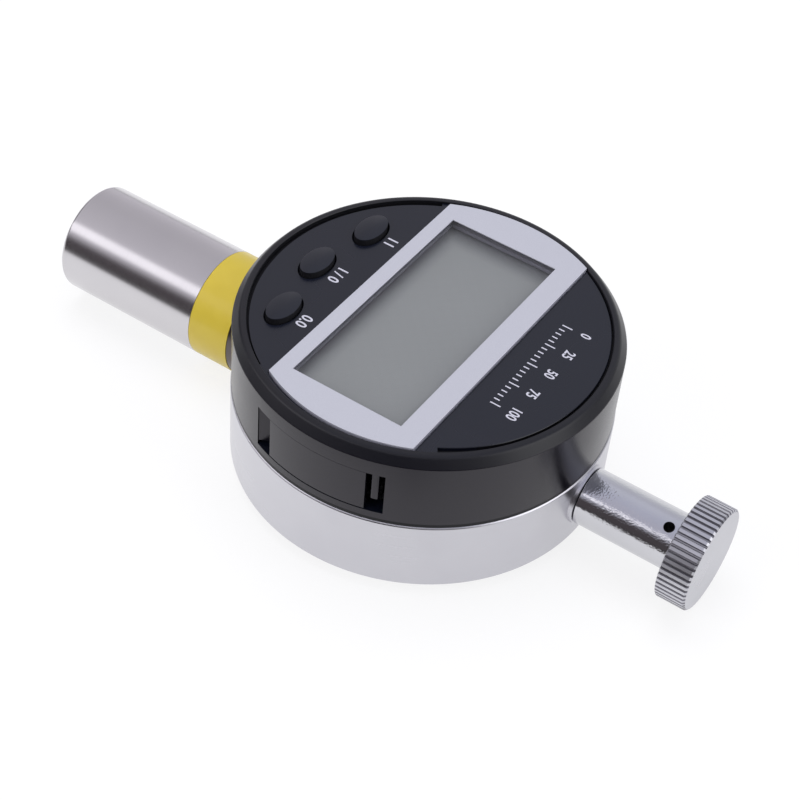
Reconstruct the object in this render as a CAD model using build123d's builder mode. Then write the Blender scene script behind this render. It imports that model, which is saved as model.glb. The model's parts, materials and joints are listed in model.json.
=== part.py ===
from build123d import *
import os
from math import cos, pi, radians, sin, sqrt, tan

# Digital durometer of the pocket type, lying on its back cover with the display up.
# Millimetres. +X runs along the spindle towards the knob, +Z is the display's normal,
# and the origin is the centre of the back cover's outer face.

# Clearances
press_gap = 0.01
thread_gap = 0.03
running_gap = 0.05
rest_gap = 0.05
moulding_gap = 0.1
slip_gap = 0.15
screw_hole_gap = 0.15

# Barrel and presser foot
barrel_radius = 9.0
barrel_length = 29.8
barrel_bore_radius = 4.8
barrel_floor_gap = 0.2
foot_thickness = 4.0
foot_hole_radius = 1.5
foot_edge = 0.7
spigot_radius = 6.5
spigot_shoulder = 0.6
neck_length = 5.8
tape_width = 6.2
tape_thickness = 0.08
tape_recess = 0.25

# Indenter, spindle and their guides
indenter_radius = 0.625
indenter_flat_radius = 0.395
indenter_cone_angle = 35.0
indenter_reach = 2.5
indenter_seat = 5.0
spindle_radius = 2.0
spindle_nose_gap = 0.6
spindle_tail = 8.8
spindle_passage_gap = 0.6
bush_length = 8.0
collar_radius = 4.2
collar_length = 2.2
seat_length = 4.0
seat_hole_gap = 0.3
seat_slot_width = 1.2
seat_slot_depth = 1.0

# Main spring
spring_wire_radius = 0.45
spring_radius = 3.4
spring_turns = 6
spring_wire_sides = 4

# Travel sensor
carriage_length = 10.0
carriage_width = 9.0
carriage_wall = 1.15
grub_radius = 1.0
scale_length = 16.0
scale_thickness = 0.6
scale_gap = 0.25
sensor_length = 30.0
sensor_thickness = 0.8
sensor_spacer = 0.6
sensor_screw_inset = 3.0
flex_width = 6.0
flex_thickness = 0.3
flex_overlap = 1.5
flex_bend = 1.2

# Drum and back cover
drum_radius = 29.2
drum_wall = 3.2
drum_edge = 0.28
cover_thickness = 2.0
cover_inset = 2.2
cover_edge = 0.6
cover_boss_height = 7.0
boss_radius = 3.0
boss_bite = 0.4
cover_screw_angle = 60.0
head_screw_angle = 30.0
lug_height = 4.0

# Stem and knob
pad_radius = 5.2
pad_rise = 0.4
stem_radius = 4.5
stem_length = 15.8
stem_bore_radius = 2.9
stem_root_radius = 3.9
stem_root_length = 7.1
stem_boss_wall = 2.2
stem_end_radius = 3.0
stem_end_length = 3.4
stem_end_edge = 0.3
cross_hole_radius = 0.85
cross_hole_inset = 1.95
cross_hole_tilt = 22.7
knob_radius = 8.2
knob_length = 4.85
knob_teeth = 50
knurl_depth = 0.38
knurl_land = 0.3
knob_edge = 0.28
knob_floor_gap = 0.2

# Head shell
seam_step = 0.6
head_wall = 2.0
bezel_overhang = 0.35
bezel_drop = 1.4
bezel_slope = 0.95
rim_rise = 0.1
rim_width = 2.0
groove_width = 0.5
groove_depth = 0.6
groove_land = 1.2
sill_height = 1.5
face_web = 0.6

# Display
face_foot_width = 14.65
face_knob_width = 13.9
lens_end_gap = 0.35
lens_seat = 0.7
lens_thickness = 1.2
mask_thickness = 0.15
window_foot_band = 2.45
window_knob_band = 3.7
window_shift = -0.24
window_relief = 0.3
lcd_glass = 0.4
lcd_margin = 1.0
lcd_step = 0.5
lcd_frame_wall = 0.9
lcd_frame_corner_gap = 0.8
lcd_top_gap = 0.2
zebra_width = 1.5
zebra_height = 1.5
zebra_inset = 0.3

# Buttons
button_half_width = 2.05
button_half_length = 3.45
button_gap = 0.33
button_proud = 0.9
button_edge = 0.1
button_flange_rim = 0.85
button_travel = 0.5
button_spare_travel = 0.2
button_inset = 6.43
button_arc_drop = 2.05
button_pitch = 11.2
button_shift = -0.47
dome_radius = 2.4
dome_height = 0.4

# Battery drawer
cell_radius = 5.8
cell_height = 5.4
cell_cap_radius = 4.6
cell_cap_height = 0.3
cell_gap = 0.2
tray_floor = 0.8
tray_wall = 1.0
tray_wall_height = 4.2
tray_bite = 0.5
tray_side_gap = 0.3
door_width = 16.7
door_thickness = 1.7
door_seam = 0.15
drawer_gap = 0.2
drawer_headroom = 1.0
latch_slot_width = 2.64
latch_width = 1.15
latch_length = 4.9
latch_recess = 0.3
latch_thickness = 1.2
ramp_recess = 0.05
ramp_fall = 0.57
ramp_gap = 0.15
ramp_bite = 0.3
contact_space = 0.5
contact_thickness = 0.15
contact_width = 3.0
contact_touch_gap = 0.1
contact_side_gap = 0.5
contact_stand_off = 1.0
contact_foot = 3.0
contact_reach = 9.0

# Boards and plates
base_thickness = 1.2
runner_width = 1.5
rail_width = 1.0
rail_height = 1.7
guide_wall = 1.4
guide_drop = 6.0
board_thickness = 0.8
board_edge_gap = 0.8
board_boss_radius = 1.8
board_boss_gap = 0.8
chip_size = 8.0
chip_thickness = 0.7
crystal_radius = 0.75
crystal_length = 6.0
crystal_x = 17.0

# Screws: shank radius, head radius, head height and length past the seat
cover_screw_sizes = (1.2, 2.3, 1.1, 7.0)
head_screw_sizes = (1.0, 1.9, 1.4, 9.4)
board_screw_sizes = (0.7, 1.4, 0.9, 2.4)
sensor_screw_sizes = (0.5, 1.0, 0.6, 2.4)
screw_head_sides = 6
screw_shank_sides = 8

# Heights, stacked up from the back cover
axis_height = barrel_radius + barrel_floor_gap
carriage_top = axis_height + spindle_radius + carriage_wall
scale_top = carriage_top + scale_thickness
sensor_bottom = scale_top + scale_gap
sensor_top = sensor_bottom + sensor_thickness
seam_z = sensor_top + sensor_spacer
base_top = seam_z + base_thickness
opening_bottom = seam_z + sill_height
tray_bottom = opening_bottom + drawer_gap
cell_bottom = tray_bottom + tray_floor
cell_top = cell_bottom + cell_height
opening_top = cell_top + drawer_headroom
board_bottom = cell_top + contact_space
board_top = board_bottom + board_thickness
lcd_bottom = board_top + zebra_height
lcd_top = lcd_bottom + 2 * lcd_glass
face_under = lcd_top + lcd_top_gap
lens_bottom = face_under + face_web
mask_top = lens_bottom + lens_thickness
mask_bottom = mask_top - mask_thickness
face_z = lens_bottom + lens_seat
rim_z = face_z + rim_rise
bezel_bottom = rim_z - bezel_drop

# Radii of the barrel, the drum and the head
tape_seat_radius = barrel_radius - tape_recess
drum_bore_radius = drum_radius - drum_wall
cover_radius = drum_radius - cover_inset
head_radius = drum_radius - seam_step
head_bore_radius = head_radius - head_wall
bezel_radius = head_radius + bezel_overhang
groove_radius = bezel_radius - rim_width
lens_radius = groove_radius - lens_end_gap
screw_circle = drum_bore_radius - boss_radius + boss_bite
base_radius = head_bore_radius - slip_gap
board_radius = head_bore_radius - board_edge_gap
board_screw_circle = board_radius - board_boss_radius
door_inner_radius = head_radius - door_thickness

# Stations along the spindle
neck_x = -(drum_radius + neck_length)
foot_x = neck_x - barrel_length
bush_x = foot_x + foot_thickness
bush_end_x = bush_x + bush_length
collar_x = bush_end_x + rest_gap
spring_x = collar_x + collar_length
barrel_tail_x = -(drum_radius + spigot_shoulder)
seat_x = barrel_tail_x - seat_length
spindle_nose_x = bush_x + spindle_nose_gap
indenter_tip_x = foot_x - indenter_reach
indenter_root_x = spindle_nose_x + indenter_seat
pad_x = drum_radius + pad_rise
stem_root_x = pad_x - stem_root_length
stem_end_x = pad_x + stem_length
stem_tip_x = stem_end_x + stem_end_length
stem_floor_x = stem_end_x - 2 * cross_hole_inset
spindle_tail_x = drum_radius + spindle_tail
knob_x = stem_end_x + moulding_gap
knob_end_x = knob_x + knob_length

# Display, buttons and drawer seen from above
lens_foot_side = lens_radius - face_foot_width
lens_knob_side = lens_radius - face_knob_width
lens_width = lens_foot_side + lens_knob_side
lens_x = (lens_knob_side - lens_foot_side) / 2
window_foot_side = lens_foot_side - window_foot_band
window_knob_side = lens_knob_side - window_knob_band
window_width = window_foot_side + window_knob_side
lcd_border = lcd_margin + moulding_gap + lcd_frame_wall
lcd_frame_side = max(window_foot_side, window_knob_side) + lcd_border
lcd_frame_end = sqrt((head_bore_radius - lcd_frame_corner_gap) ** 2 - lcd_frame_side**2)
window_length = 2 * (lcd_frame_end - lcd_border - abs(window_shift))
window_centre = ((window_knob_side - window_foot_side) / 2, window_shift)
lcd_width = window_width + 2 * lcd_margin
lcd_length = window_length + 2 * lcd_margin
button_x = -(lens_radius - button_inset)
button_spots = {
    "hold_button": (button_x + button_arc_drop, button_shift + button_pitch),
    "power_button": (button_x, button_shift),
    "zero_button": (button_x + button_arc_drop, button_shift - button_pitch),
}
cell_pocket_radius = cell_radius + cell_gap
cell_ring_radius = cell_pocket_radius + tray_wall
cell_y = cell_ring_radius - door_inner_radius - tray_bite
tray_back_y = cell_y + cell_ring_radius
opening_width = door_width + 2 * latch_slot_width
opening_reach = sqrt(head_bore_radius**2 - (opening_width / 2) ** 2)
latch_x = (door_width + latch_slot_width) / 2
rail_x = cell_ring_radius + tray_side_gap + rail_width / 2
runner_length = head_bore_radius + tray_back_y
runner_y = tray_back_y - runner_length / 2
guide_y = carriage_width / 2 + slip_gap + guide_wall / 2
flex_x = sensor_length / 2 + flex_bend

# The turning plane holds half profiles: along it runs the spindle, up it the radius
spindle_axis = Axis((0, 0, axis_height), (1, 0, 0))
turning_plane = Plane(origin=(0, 0, axis_height), x_dir=(1, 0, 0), z_dir=(0, -1, 0))


def across(x):
    """Plane square to the spindle at station x."""
    return Plane(origin=(x, 0, axis_height), x_dir=(0, 1, 0), z_dir=(1, 0, 0))


def level(z):
    """Horizontal plane at height z."""
    return Plane.XY.offset(z)


def turn(points, mode=Mode.ADD):
    """Turns a closed half profile of (station, radius) points about the spindle axis."""
    with BuildSketch(turning_plane) as profile:
        with BuildLine():
            Polyline(*points, close=True)
        make_face()
    revolve(profile.sketch, axis=spindle_axis, mode=mode)


def spin(points, centre=(0, 0), mode=Mode.ADD):
    """Turns a closed half profile of (radius, height) points about an upright axis."""
    upright_plane = Plane(origin=(*centre, 0), x_dir=(1, 0, 0), z_dir=(0, -1, 0))
    with BuildSketch(upright_plane) as profile:
        with BuildLine():
            Polyline(*points, close=True)
        make_face()
    revolve(profile.sketch, axis=Axis((*centre, 0), (0, 0, 1)), mode=mode)


def raise_circles(spots, radius, low_z, high_z, mode=Mode.ADD):
    """Round bosses or holes between two heights."""
    with BuildSketch(level(low_z)) as circles:
        with Locations(*spots):
            Circle(radius)
    extrude(circles.sketch, amount=high_z - low_z, mode=mode)


def raise_lugs(spots, low_z, high_z, outer_radius):
    """Round screw lugs that run out to the wall round them."""
    with BuildSketch(level(low_z)) as lugs:
        with Locations(*spots):
            Circle(boss_radius)
        for x, y in spots:
            outward = Vector(x, y).normalized() * boss_radius
            turned = Vector(1, 0).get_signed_angle(Vector(x, y))
            with Locations(Location((x + outward.X, y + outward.Y), turned)):
                Rectangle(2 * boss_radius, 2 * boss_radius)
        Circle(outer_radius, mode=Mode.INTERSECT)
    extrude(lugs.sketch, amount=high_z - low_z)


def mirror_spots(x, y):
    """Four places mirrored across both centre lines."""
    return [(x, y), (-x, y), (-x, -y), (x, -y)]


def drive_up_screws(spots, seat_z, sizes):
    """Hexagon head screws that point up, with their heads under seat_z."""
    shank_radius, cap_radius, cap_height, length = sizes
    with BuildSketch(level(seat_z - cap_height)) as heads:
        with Locations(*spots):
            RegularPolygon(cap_radius, screw_head_sides)
    extrude(heads.sketch, amount=cap_height)
    with BuildSketch(level(seat_z)) as shanks:
        with Locations(*spots):
            RegularPolygon(shank_radius, screw_shank_sides)
    extrude(shanks.sketch, amount=length)


def finish(piece, name):
    """Names a finished piece and writes it."""
    piece.part.label = name
    export_step(piece.part, f"parts/{name}.step")


os.makedirs("parts", exist_ok=True)

head_angle = radians(head_screw_angle)
head_spots = mirror_spots(screw_circle * cos(head_angle), screw_circle * sin(head_angle))
cover_angle = radians(cover_screw_angle)
cover_spots = mirror_spots(screw_circle * cos(cover_angle), screw_circle * sin(cover_angle))
board_spot_x = lcd_frame_side + board_boss_gap + board_boss_radius
board_spots = mirror_spots(board_spot_x, sqrt(board_screw_circle**2 - board_spot_x**2))
sensor_screw_x = sensor_length / 2 - sensor_screw_inset
sensor_spots = [(-sensor_screw_x, 0), (sensor_screw_x, 0)]

# Rear case: plated drum ring with the barrel's neck, the stem's pad and inner screw bosses
with BuildPart() as rear_case:
    spin([
        (drum_bore_radius, cover_thickness),
        (drum_radius - drum_edge, cover_thickness),
        (drum_radius, cover_thickness + drum_edge),
        (drum_radius, seam_z - drum_edge),
        (drum_radius - drum_edge, seam_z),
        (drum_bore_radius, seam_z),
    ])
    turn([
        (neck_x, 0),
        (neck_x, tape_seat_radius),
        (neck_x + tape_width / 2, tape_seat_radius),
        (neck_x + tape_width / 2, barrel_radius),
        (drum_wall / 2 - drum_radius, barrel_radius),
        (drum_wall / 2 - drum_radius, 0),
    ])
    with BuildSketch(across(pad_x)):
        Circle(pad_radius)
    extrude(amount=-pad_rise - drum_wall / 2)
    with BuildSketch(across(stem_root_x)):
        Circle(stem_root_radius + stem_boss_wall)
    extrude(amount=drum_radius - drum_wall / 2 - stem_root_x)
    # neck and boss stay clear of the head above them and of the back cover below
    raise_circles([(0, 0)], head_radius + slip_gap, seam_z, seam_z + barrel_radius, Mode.SUBTRACT)
    raise_circles([(0, 0)], cover_radius + slip_gap, 0, cover_thickness, Mode.SUBTRACT)
    raise_lugs(head_spots, seam_z - lug_height, seam_z, drum_radius - drum_wall / 2)
    raise_circles(cover_spots, boss_radius, cover_thickness, cover_thickness + cover_boss_height)
    # threads for the barrel and the stem, and the passage of the spindle
    turn(
        [
            (neck_x, 0),
            (neck_x, spigot_radius + thread_gap),
            (barrel_tail_x, spigot_radius + thread_gap),
            (barrel_tail_x, spindle_radius + spindle_passage_gap),
            (0, spindle_radius + spindle_passage_gap),
            (0, 0),
        ],
        mode=Mode.SUBTRACT,
    )
    turn(
        [
            (0, 0),
            (0, stem_root_radius + thread_gap),
            (pad_x, stem_root_radius + thread_gap),
            (pad_x, 0),
        ],
        mode=Mode.SUBTRACT,
    )
    raise_circles(head_spots, head_screw_sizes[0] + screw_hole_gap, seam_z - lug_height, seam_z, Mode.SUBTRACT)
    raise_circles(
        cover_spots,
        cover_screw_sizes[0] + thread_gap,
        cover_thickness,
        cover_thickness + cover_boss_height,
        Mode.SUBTRACT,
    )
finish(rear_case, "rear_case")

# Back cover: flat plate that the durometer lies on, with countersunk screw holes
with BuildPart() as back_cover:
    spin([
        (0, 0),
        (cover_radius - cover_edge, 0),
        (cover_radius, cover_edge),
        (cover_radius, cover_thickness),
        (0, cover_thickness),
    ])
    for spot in cover_spots:
        spin(
            [
                (0, 0),
                (cover_screw_sizes[1], 0),
                (cover_screw_sizes[0] + screw_hole_gap, cover_screw_sizes[2] - screw_hole_gap),
                (cover_screw_sizes[0] + screw_hole_gap, cover_thickness),
                (0, cover_thickness),
            ],
            centre=spot,
            mode=Mode.SUBTRACT,
        )
finish(back_cover, "back_cover")

# Back cover screws: four countersunk screws, their heads level with the plate
with BuildPart() as back_cover_screws:
    for spot in cover_spots:
        spin(
            [
                (0, 0),
                (cover_screw_sizes[1], 0),
                (cover_screw_sizes[0], cover_screw_sizes[2]),
                (cover_screw_sizes[0], cover_screw_sizes[3]),
                (0, cover_screw_sizes[3]),
            ],
            centre=spot,
        )
finish(back_cover_screws, "back_cover_screws")

# Barrel: turned steel sleeve, closed at its end by the presser foot
with BuildPart() as barrel:
    turn([
        (foot_x, foot_hole_radius),
        (foot_x, barrel_radius - foot_edge),
        (foot_x + foot_edge, barrel_radius),
        (neck_x - tape_width / 2, barrel_radius),
        (neck_x - tape_width / 2, tape_seat_radius),
        (neck_x, tape_seat_radius),
        (neck_x, spigot_radius),
        (barrel_tail_x, spigot_radius),
        (barrel_tail_x, barrel_bore_radius),
        (bush_x, barrel_bore_radius),
        (bush_x, foot_hole_radius),
    ])
finish(barrel, "barrel")

# Seal tape: one turn of thin tape in a shallow recess over the joint of barrel and neck
with BuildPart() as seal_tape:
    turn([
        (neck_x - tape_width / 2, tape_seat_radius + press_gap),
        (neck_x - tape_width / 2, tape_seat_radius + press_gap + tape_thickness),
        (neck_x + tape_width / 2, tape_seat_radius + press_gap + tape_thickness),
        (neck_x + tape_width / 2, tape_seat_radius + press_gap),
    ])
finish(seal_tape, "seal_tape")

# Front bush: brass guide behind the presser foot
with BuildPart() as front_bush:
    turn([
        (bush_x, spindle_radius + running_gap),
        (bush_x, barrel_bore_radius - press_gap),
        (bush_end_x, barrel_bore_radius - press_gap),
        (bush_end_x, spindle_radius + running_gap),
    ])
finish(front_bush, "front_bush")

# Spring seat: slotted ring nut in the barrel's tail
with BuildPart() as spring_seat:
    turn([
        (seat_x, spindle_radius + seat_hole_gap),
        (seat_x, barrel_bore_radius - thread_gap),
        (barrel_tail_x, barrel_bore_radius - thread_gap),
        (barrel_tail_x, spindle_radius + seat_hole_gap),
    ])
    with BuildSketch(across(barrel_tail_x)):
        Rectangle(2 * barrel_radius, seat_slot_width)
    extrude(amount=-seat_slot_depth, mode=Mode.SUBTRACT)
finish(spring_seat, "spring_seat")

# Main spring: calibrated compression spring between the collar and the seat
spring_start_x = spring_x + spring_wire_radius + rest_gap
spring_end_x = seat_x - spring_wire_radius - rest_gap
with BuildPart() as main_spring:
    with BuildLine() as spring_path:
        Helix(
            pitch=(spring_end_x - spring_start_x) / spring_turns,
            height=spring_end_x - spring_start_x,
            radius=spring_radius,
            center=(spring_start_x, 0, axis_height),
            direction=(1, 0, 0),
        )
    with BuildSketch(Plane(origin=spring_path.line @ 0, z_dir=spring_path.line % 0)):
        RegularPolygon(spring_wire_radius, spring_wire_sides)
    sweep(path=spring_path.line, is_frenet=True)
finish(main_spring, "main_spring")

# Spindle: ground rod that carries the indenter in front and the scale in the drum
with BuildPart() as spindle:
    turn([
        (spindle_nose_x, indenter_radius + press_gap),
        (spindle_nose_x, spindle_radius),
        (spindle_tail_x, spindle_radius),
        (spindle_tail_x, 0),
        (indenter_root_x, 0),
        (indenter_root_x, indenter_radius + press_gap),
    ])
finish(spindle, "spindle")

# Indenter: hardened pin with a truncated cone, pressed into the spindle's nose
indenter_cone = (indenter_radius - indenter_flat_radius) / tan(radians(indenter_cone_angle / 2))
with BuildPart() as indenter:
    turn([
        (indenter_tip_x, 0),
        (indenter_tip_x, indenter_flat_radius),
        (indenter_tip_x + indenter_cone, indenter_radius),
        (indenter_root_x, indenter_radius),
        (indenter_root_x, 0),
    ])
finish(indenter, "indenter")

# Spring collar: stop ring on the spindle, held towards the front bush by the spring
with BuildPart() as spring_collar:
    turn([
        (collar_x, spindle_radius + press_gap),
        (collar_x, collar_radius),
        (spring_x, collar_radius),
        (spring_x, spindle_radius + press_gap),
    ])
finish(spring_collar, "spring_collar")

# Scale carriage: block clamped on the spindle, kept from turning by the guide walls
with BuildPart() as scale_carriage:
    with BuildSketch(level(carriage_top)):
        Rectangle(carriage_length, carriage_width)
    extrude(amount=-2 * (carriage_top - axis_height))
    with BuildSketch(across(0)):
        Circle(spindle_radius + press_gap)
    extrude(amount=carriage_length, both=True, mode=Mode.SUBTRACT)
    with BuildSketch(Plane.XZ.offset(carriage_width / 2)):
        with Locations((0, axis_height)):
            Circle(grub_radius + thread_gap)
    extrude(amount=-carriage_width / 2, mode=Mode.SUBTRACT)
finish(scale_carriage, "scale_carriage")

# Carriage screw: grub screw that clamps the carriage on the spindle
grub_length = carriage_width / 2 - spindle_radius - press_gap
with BuildPart() as carriage_screw:
    with BuildSketch(Plane.XZ.offset(carriage_width / 2)):
        with Locations((0, axis_height)):
            Circle(grub_radius)
    extrude(amount=-grub_length)
    with BuildSketch(Plane.XZ.offset(carriage_width / 2)):
        with Locations((0, axis_height)):
            RegularPolygon(grub_radius / 2, 6)
    extrude(amount=-grub_length / 2, mode=Mode.SUBTRACT)
finish(carriage_screw, "carriage_screw")

# Scale plate: patterned strip on the carriage that moves under the sensor board
with BuildPart() as scale_plate:
    with BuildSketch(level(carriage_top)):
        Rectangle(scale_length, carriage_width - 2 * moulding_gap)
    extrude(amount=scale_thickness)
finish(scale_plate, "scale_plate")

# Sensor board: fixed board over the scale, screwed under the base plate
with BuildPart() as sensor_board:
    with BuildSketch(level(sensor_bottom)):
        Rectangle(sensor_length, carriage_width)
        with Locations(*sensor_spots):
            Circle(sensor_screw_sizes[0] + screw_hole_gap, mode=Mode.SUBTRACT)
    extrude(amount=sensor_thickness)
finish(sensor_board, "sensor_board")

with BuildPart() as sensor_screws:
    drive_up_screws(sensor_spots, sensor_bottom, sensor_screw_sizes)
finish(sensor_screws, "sensor_screws")

# Base plate: floor of the head, with the carriage's guides below and the drawer's above
with BuildPart() as base_plate:
    with BuildSketch(level(seam_z)):
        Circle(base_radius)
        with Locations(*head_spots):
            Circle(head_screw_sizes[0] + screw_hole_gap, mode=Mode.SUBTRACT)
        with Locations((flex_x, 0)):
            Rectangle(flex_bend, flex_width + flex_bend, mode=Mode.SUBTRACT)
    extrude(amount=base_thickness)
    with BuildSketch(level(seam_z)):
        with Locations((0, -guide_y), (0, guide_y)):
            Rectangle(sensor_length, guide_wall)
    extrude(amount=-guide_drop)
    raise_circles(sensor_spots, sensor_screw_sizes[1], sensor_top, seam_z)
    raise_circles(sensor_spots, sensor_screw_sizes[0] + thread_gap, sensor_top, base_top, Mode.SUBTRACT)
    with BuildSketch(level(base_top)):
        with Locations((-cell_radius, runner_y), (cell_radius, runner_y)):
            Rectangle(runner_width, runner_length)
        Circle(base_radius, mode=Mode.INTERSECT)
    extrude(amount=tray_bottom - running_gap - base_top)
    with BuildSketch(level(base_top)):
        with Locations((-rail_x, runner_y), (rail_x, runner_y)):
            Rectangle(rail_width, runner_length)
        Circle(head_bore_radius - door_thickness, mode=Mode.INTERSECT)
    extrude(amount=rail_height)
finish(base_plate, "base_plate")

with BuildPart() as head_screws:
    drive_up_screws(head_spots, seam_z - lug_height, head_screw_sizes)
finish(head_screws, "head_screws")

# Sensor flex: flat cable from the sensor board up to the main board
with BuildPart() as sensor_flex:
    with BuildSketch(Plane.XZ):
        with BuildLine():
            Polyline(
                (sensor_length / 2 - flex_overlap, sensor_top + flex_thickness / 2),
                (flex_x, sensor_top + flex_thickness / 2),
                (flex_x, board_bottom - flex_thickness / 2),
                (flex_x - flex_bend - flex_overlap, board_bottom - flex_thickness / 2),
            )
        trace(line_width=flex_thickness)
    extrude(amount=flex_width / 2, both=True)
finish(sensor_flex, "sensor_flex")

# Stem: bright tube screwed into the drum, with a cross hole near the knob
with BuildPart() as stem:
    turn([
        (stem_root_x, stem_bore_radius),
        (stem_root_x, stem_root_radius),
        (pad_x, stem_root_radius),
        (pad_x, stem_radius),
        (stem_end_x - stem_end_edge, stem_radius),
        (stem_end_x, stem_radius - stem_end_edge),
        (stem_end_x, stem_end_radius),
        (stem_tip_x, stem_end_radius),
        (stem_tip_x, 0),
        (stem_floor_x, 0),
        (stem_floor_x, stem_bore_radius),
    ])
    tilt = radians(cross_hole_tilt)
    cross_hole_x = stem_end_x - cross_hole_inset
    with BuildSketch(Plane((cross_hole_x, 0, axis_height), (1, 0, 0), (0, -sin(tilt), cos(tilt)))):
        Circle(cross_hole_radius)
    extrude(amount=2 * stem_radius, both=True, mode=Mode.SUBTRACT)
finish(stem, "stem")

# Rear bush: brass guide in the stem
with BuildPart() as rear_bush:
    turn([
        (stem_root_x, spindle_radius + running_gap),
        (stem_root_x, stem_bore_radius - press_gap),
        (stem_root_x + bush_length, stem_bore_radius - press_gap),
        (stem_root_x + bush_length, spindle_radius + running_gap),
    ])
finish(rear_bush, "rear_bush")

# Knob: straight knurled nut, its teeth cut by a fine chamfer at both ends
root_radius = knob_radius - knurl_depth
knurl_points = []
for tooth in range(knob_teeth):
    crest = 2 * pi * tooth / knob_teeth
    crest_end = crest + 2 * pi * knurl_land / knob_teeth
    root = crest + pi * (1 + knurl_land) / knob_teeth
    knurl_points.append((knob_radius * cos(crest), knob_radius * sin(crest)))
    knurl_points.append((knob_radius * cos(crest_end), knob_radius * sin(crest_end)))
    knurl_points.append((root_radius * cos(root), root_radius * sin(root)))
with BuildPart() as knob:
    with BuildSketch(across(knob_x)):
        with BuildLine():
            Polyline(*knurl_points, close=True)
        make_face()
    extrude(amount=knob_length)
    turn(
        [
            (knob_x, 0),
            (knob_x, knob_radius - knob_edge),
            (knob_x + knob_edge, knob_radius),
            (knob_end_x - knob_edge, knob_radius),
            (knob_end_x, knob_radius - knob_edge),
            (knob_end_x, 0),
        ],
        mode=Mode.INTERSECT,
    )
    with BuildSketch(across(knob_x)):
        Circle(stem_end_radius + running_gap)
    extrude(amount=stem_tip_x + knob_floor_gap - knob_x, mode=Mode.SUBTRACT)
finish(knob, "knob")

# Front housing: moulded head with a bevelled rim, a grooved face and the drawer's opening
with BuildPart() as front_housing:
    with BuildSketch(level(face_under)):
        Circle(groove_radius + rim_width / 4)
        with Locations(window_centre):
            Rectangle(window_width + 2 * window_relief, window_length + 2 * window_relief, mode=Mode.SUBTRACT)
        with Locations(*button_spots.values()):
            Ellipse(button_half_width + button_gap, button_half_length + button_gap, mode=Mode.SUBTRACT)
    extrude(amount=face_z - face_under)
    # a groove runs round both dark parts of the face and stops short of the display
    with BuildSketch(level(face_z)):
        Circle(groove_radius)
        Circle(groove_radius - groove_width, mode=Mode.SUBTRACT)
        with Locations((lens_x, 0)):
            Rectangle(lens_width + 2 * groove_land, 2 * drum_radius, mode=Mode.SUBTRACT)
    extrude(amount=-groove_depth, mode=Mode.SUBTRACT)
    with BuildSketch(level(face_z)):
        Circle(lens_radius + moulding_gap)
        with Locations((lens_x, 0)):
            Rectangle(lens_width + 2 * moulding_gap, 2 * drum_radius, mode=Mode.INTERSECT)
    extrude(amount=-lens_seat, mode=Mode.SUBTRACT)
    spin([
        (head_bore_radius, seam_z),
        (head_radius, seam_z),
        (head_radius, bezel_bottom),
        (bezel_radius, bezel_bottom),
        (bezel_radius - bezel_slope, rim_z),
        (groove_radius, rim_z),
        (groove_radius, face_under),
        (head_bore_radius, face_under),
    ])
    # screw posts: the tall ones stand on the base plate, the short ones hold the main board
    raise_lugs(head_spots, base_top, cell_top, head_bore_radius + head_wall / 2)
    head_pilot_top = seam_z - lug_height + head_screw_sizes[3] + moulding_gap
    raise_circles(head_spots, head_screw_sizes[0] + thread_gap, base_top, head_pilot_top, Mode.SUBTRACT)
    raise_circles(board_spots, board_boss_radius, board_top, face_under)
    board_pilot_top = board_bottom + board_screw_sizes[3] + moulding_gap
    raise_circles(board_spots, board_screw_sizes[0] + thread_gap, board_top, board_pilot_top, Mode.SUBTRACT)
    # drawer opening, with a latch in the slot at each end of the door: a hanging tongue on the
    # knob's side, and on the foot's side a ramp that slopes from the slot's wall towards the door
    with BuildSketch(Plane.XZ.offset(drum_radius)):
        with Locations((0, (opening_bottom + opening_top) / 2)):
            Rectangle(opening_width, opening_top - opening_bottom)
    extrude(amount=opening_reach - drum_radius, mode=Mode.SUBTRACT)
    with BuildSketch(level(opening_top)):
        with Locations((latch_x, -drum_radius / 2)):
            Rectangle(latch_width, drum_radius)
        Circle(head_radius - latch_recess, mode=Mode.INTERSECT)
        Circle(head_radius - latch_recess - latch_thickness, mode=Mode.SUBTRACT)
    extrude(amount=-latch_length)
    ramp_wall_x = opening_width / 2 + ramp_bite
    ramp_door_x = door_width / 2 + ramp_gap
    ramp_radius = head_radius - ramp_recess
    ramp_wall_y = sqrt(ramp_radius**2 - ramp_wall_x**2)
    ramp_door_y = sqrt((ramp_radius - ramp_fall) ** 2 - ramp_door_x**2)
    with BuildSketch(level(opening_top)):
        with BuildLine():
            Polyline(
                (-ramp_wall_x, -ramp_wall_y),
                (-ramp_door_x, -ramp_door_y),
                (-ramp_door_x, latch_thickness - ramp_door_y),
                (-ramp_wall_x, latch_thickness - ramp_wall_y),
                close=True,
            )
        make_face()
    extrude(amount=-latch_length)
finish(front_housing, "front_housing")

# Display window: clear plate seated in the face, a little proud of it
with BuildPart() as display_window:
    with BuildSketch(level(lens_bottom)):
        Circle(lens_radius)
        with Locations((lens_x, 0)):
            Rectangle(lens_width, 2 * drum_radius, mode=Mode.INTERSECT)
    extrude(amount=mask_bottom - lens_bottom)
finish(display_window, "display_window")

# Display bezel: silver mask on the window that frames the display
with BuildPart() as display_bezel:
    with BuildSketch(level(mask_bottom)):
        Circle(lens_radius)
        with Locations((lens_x, 0)):
            Rectangle(lens_width, 2 * drum_radius, mode=Mode.INTERSECT)
        with Locations(window_centre):
            Rectangle(window_width, window_length, mode=Mode.SUBTRACT)
    extrude(amount=mask_thickness)
finish(display_bezel, "display_bezel")

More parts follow.
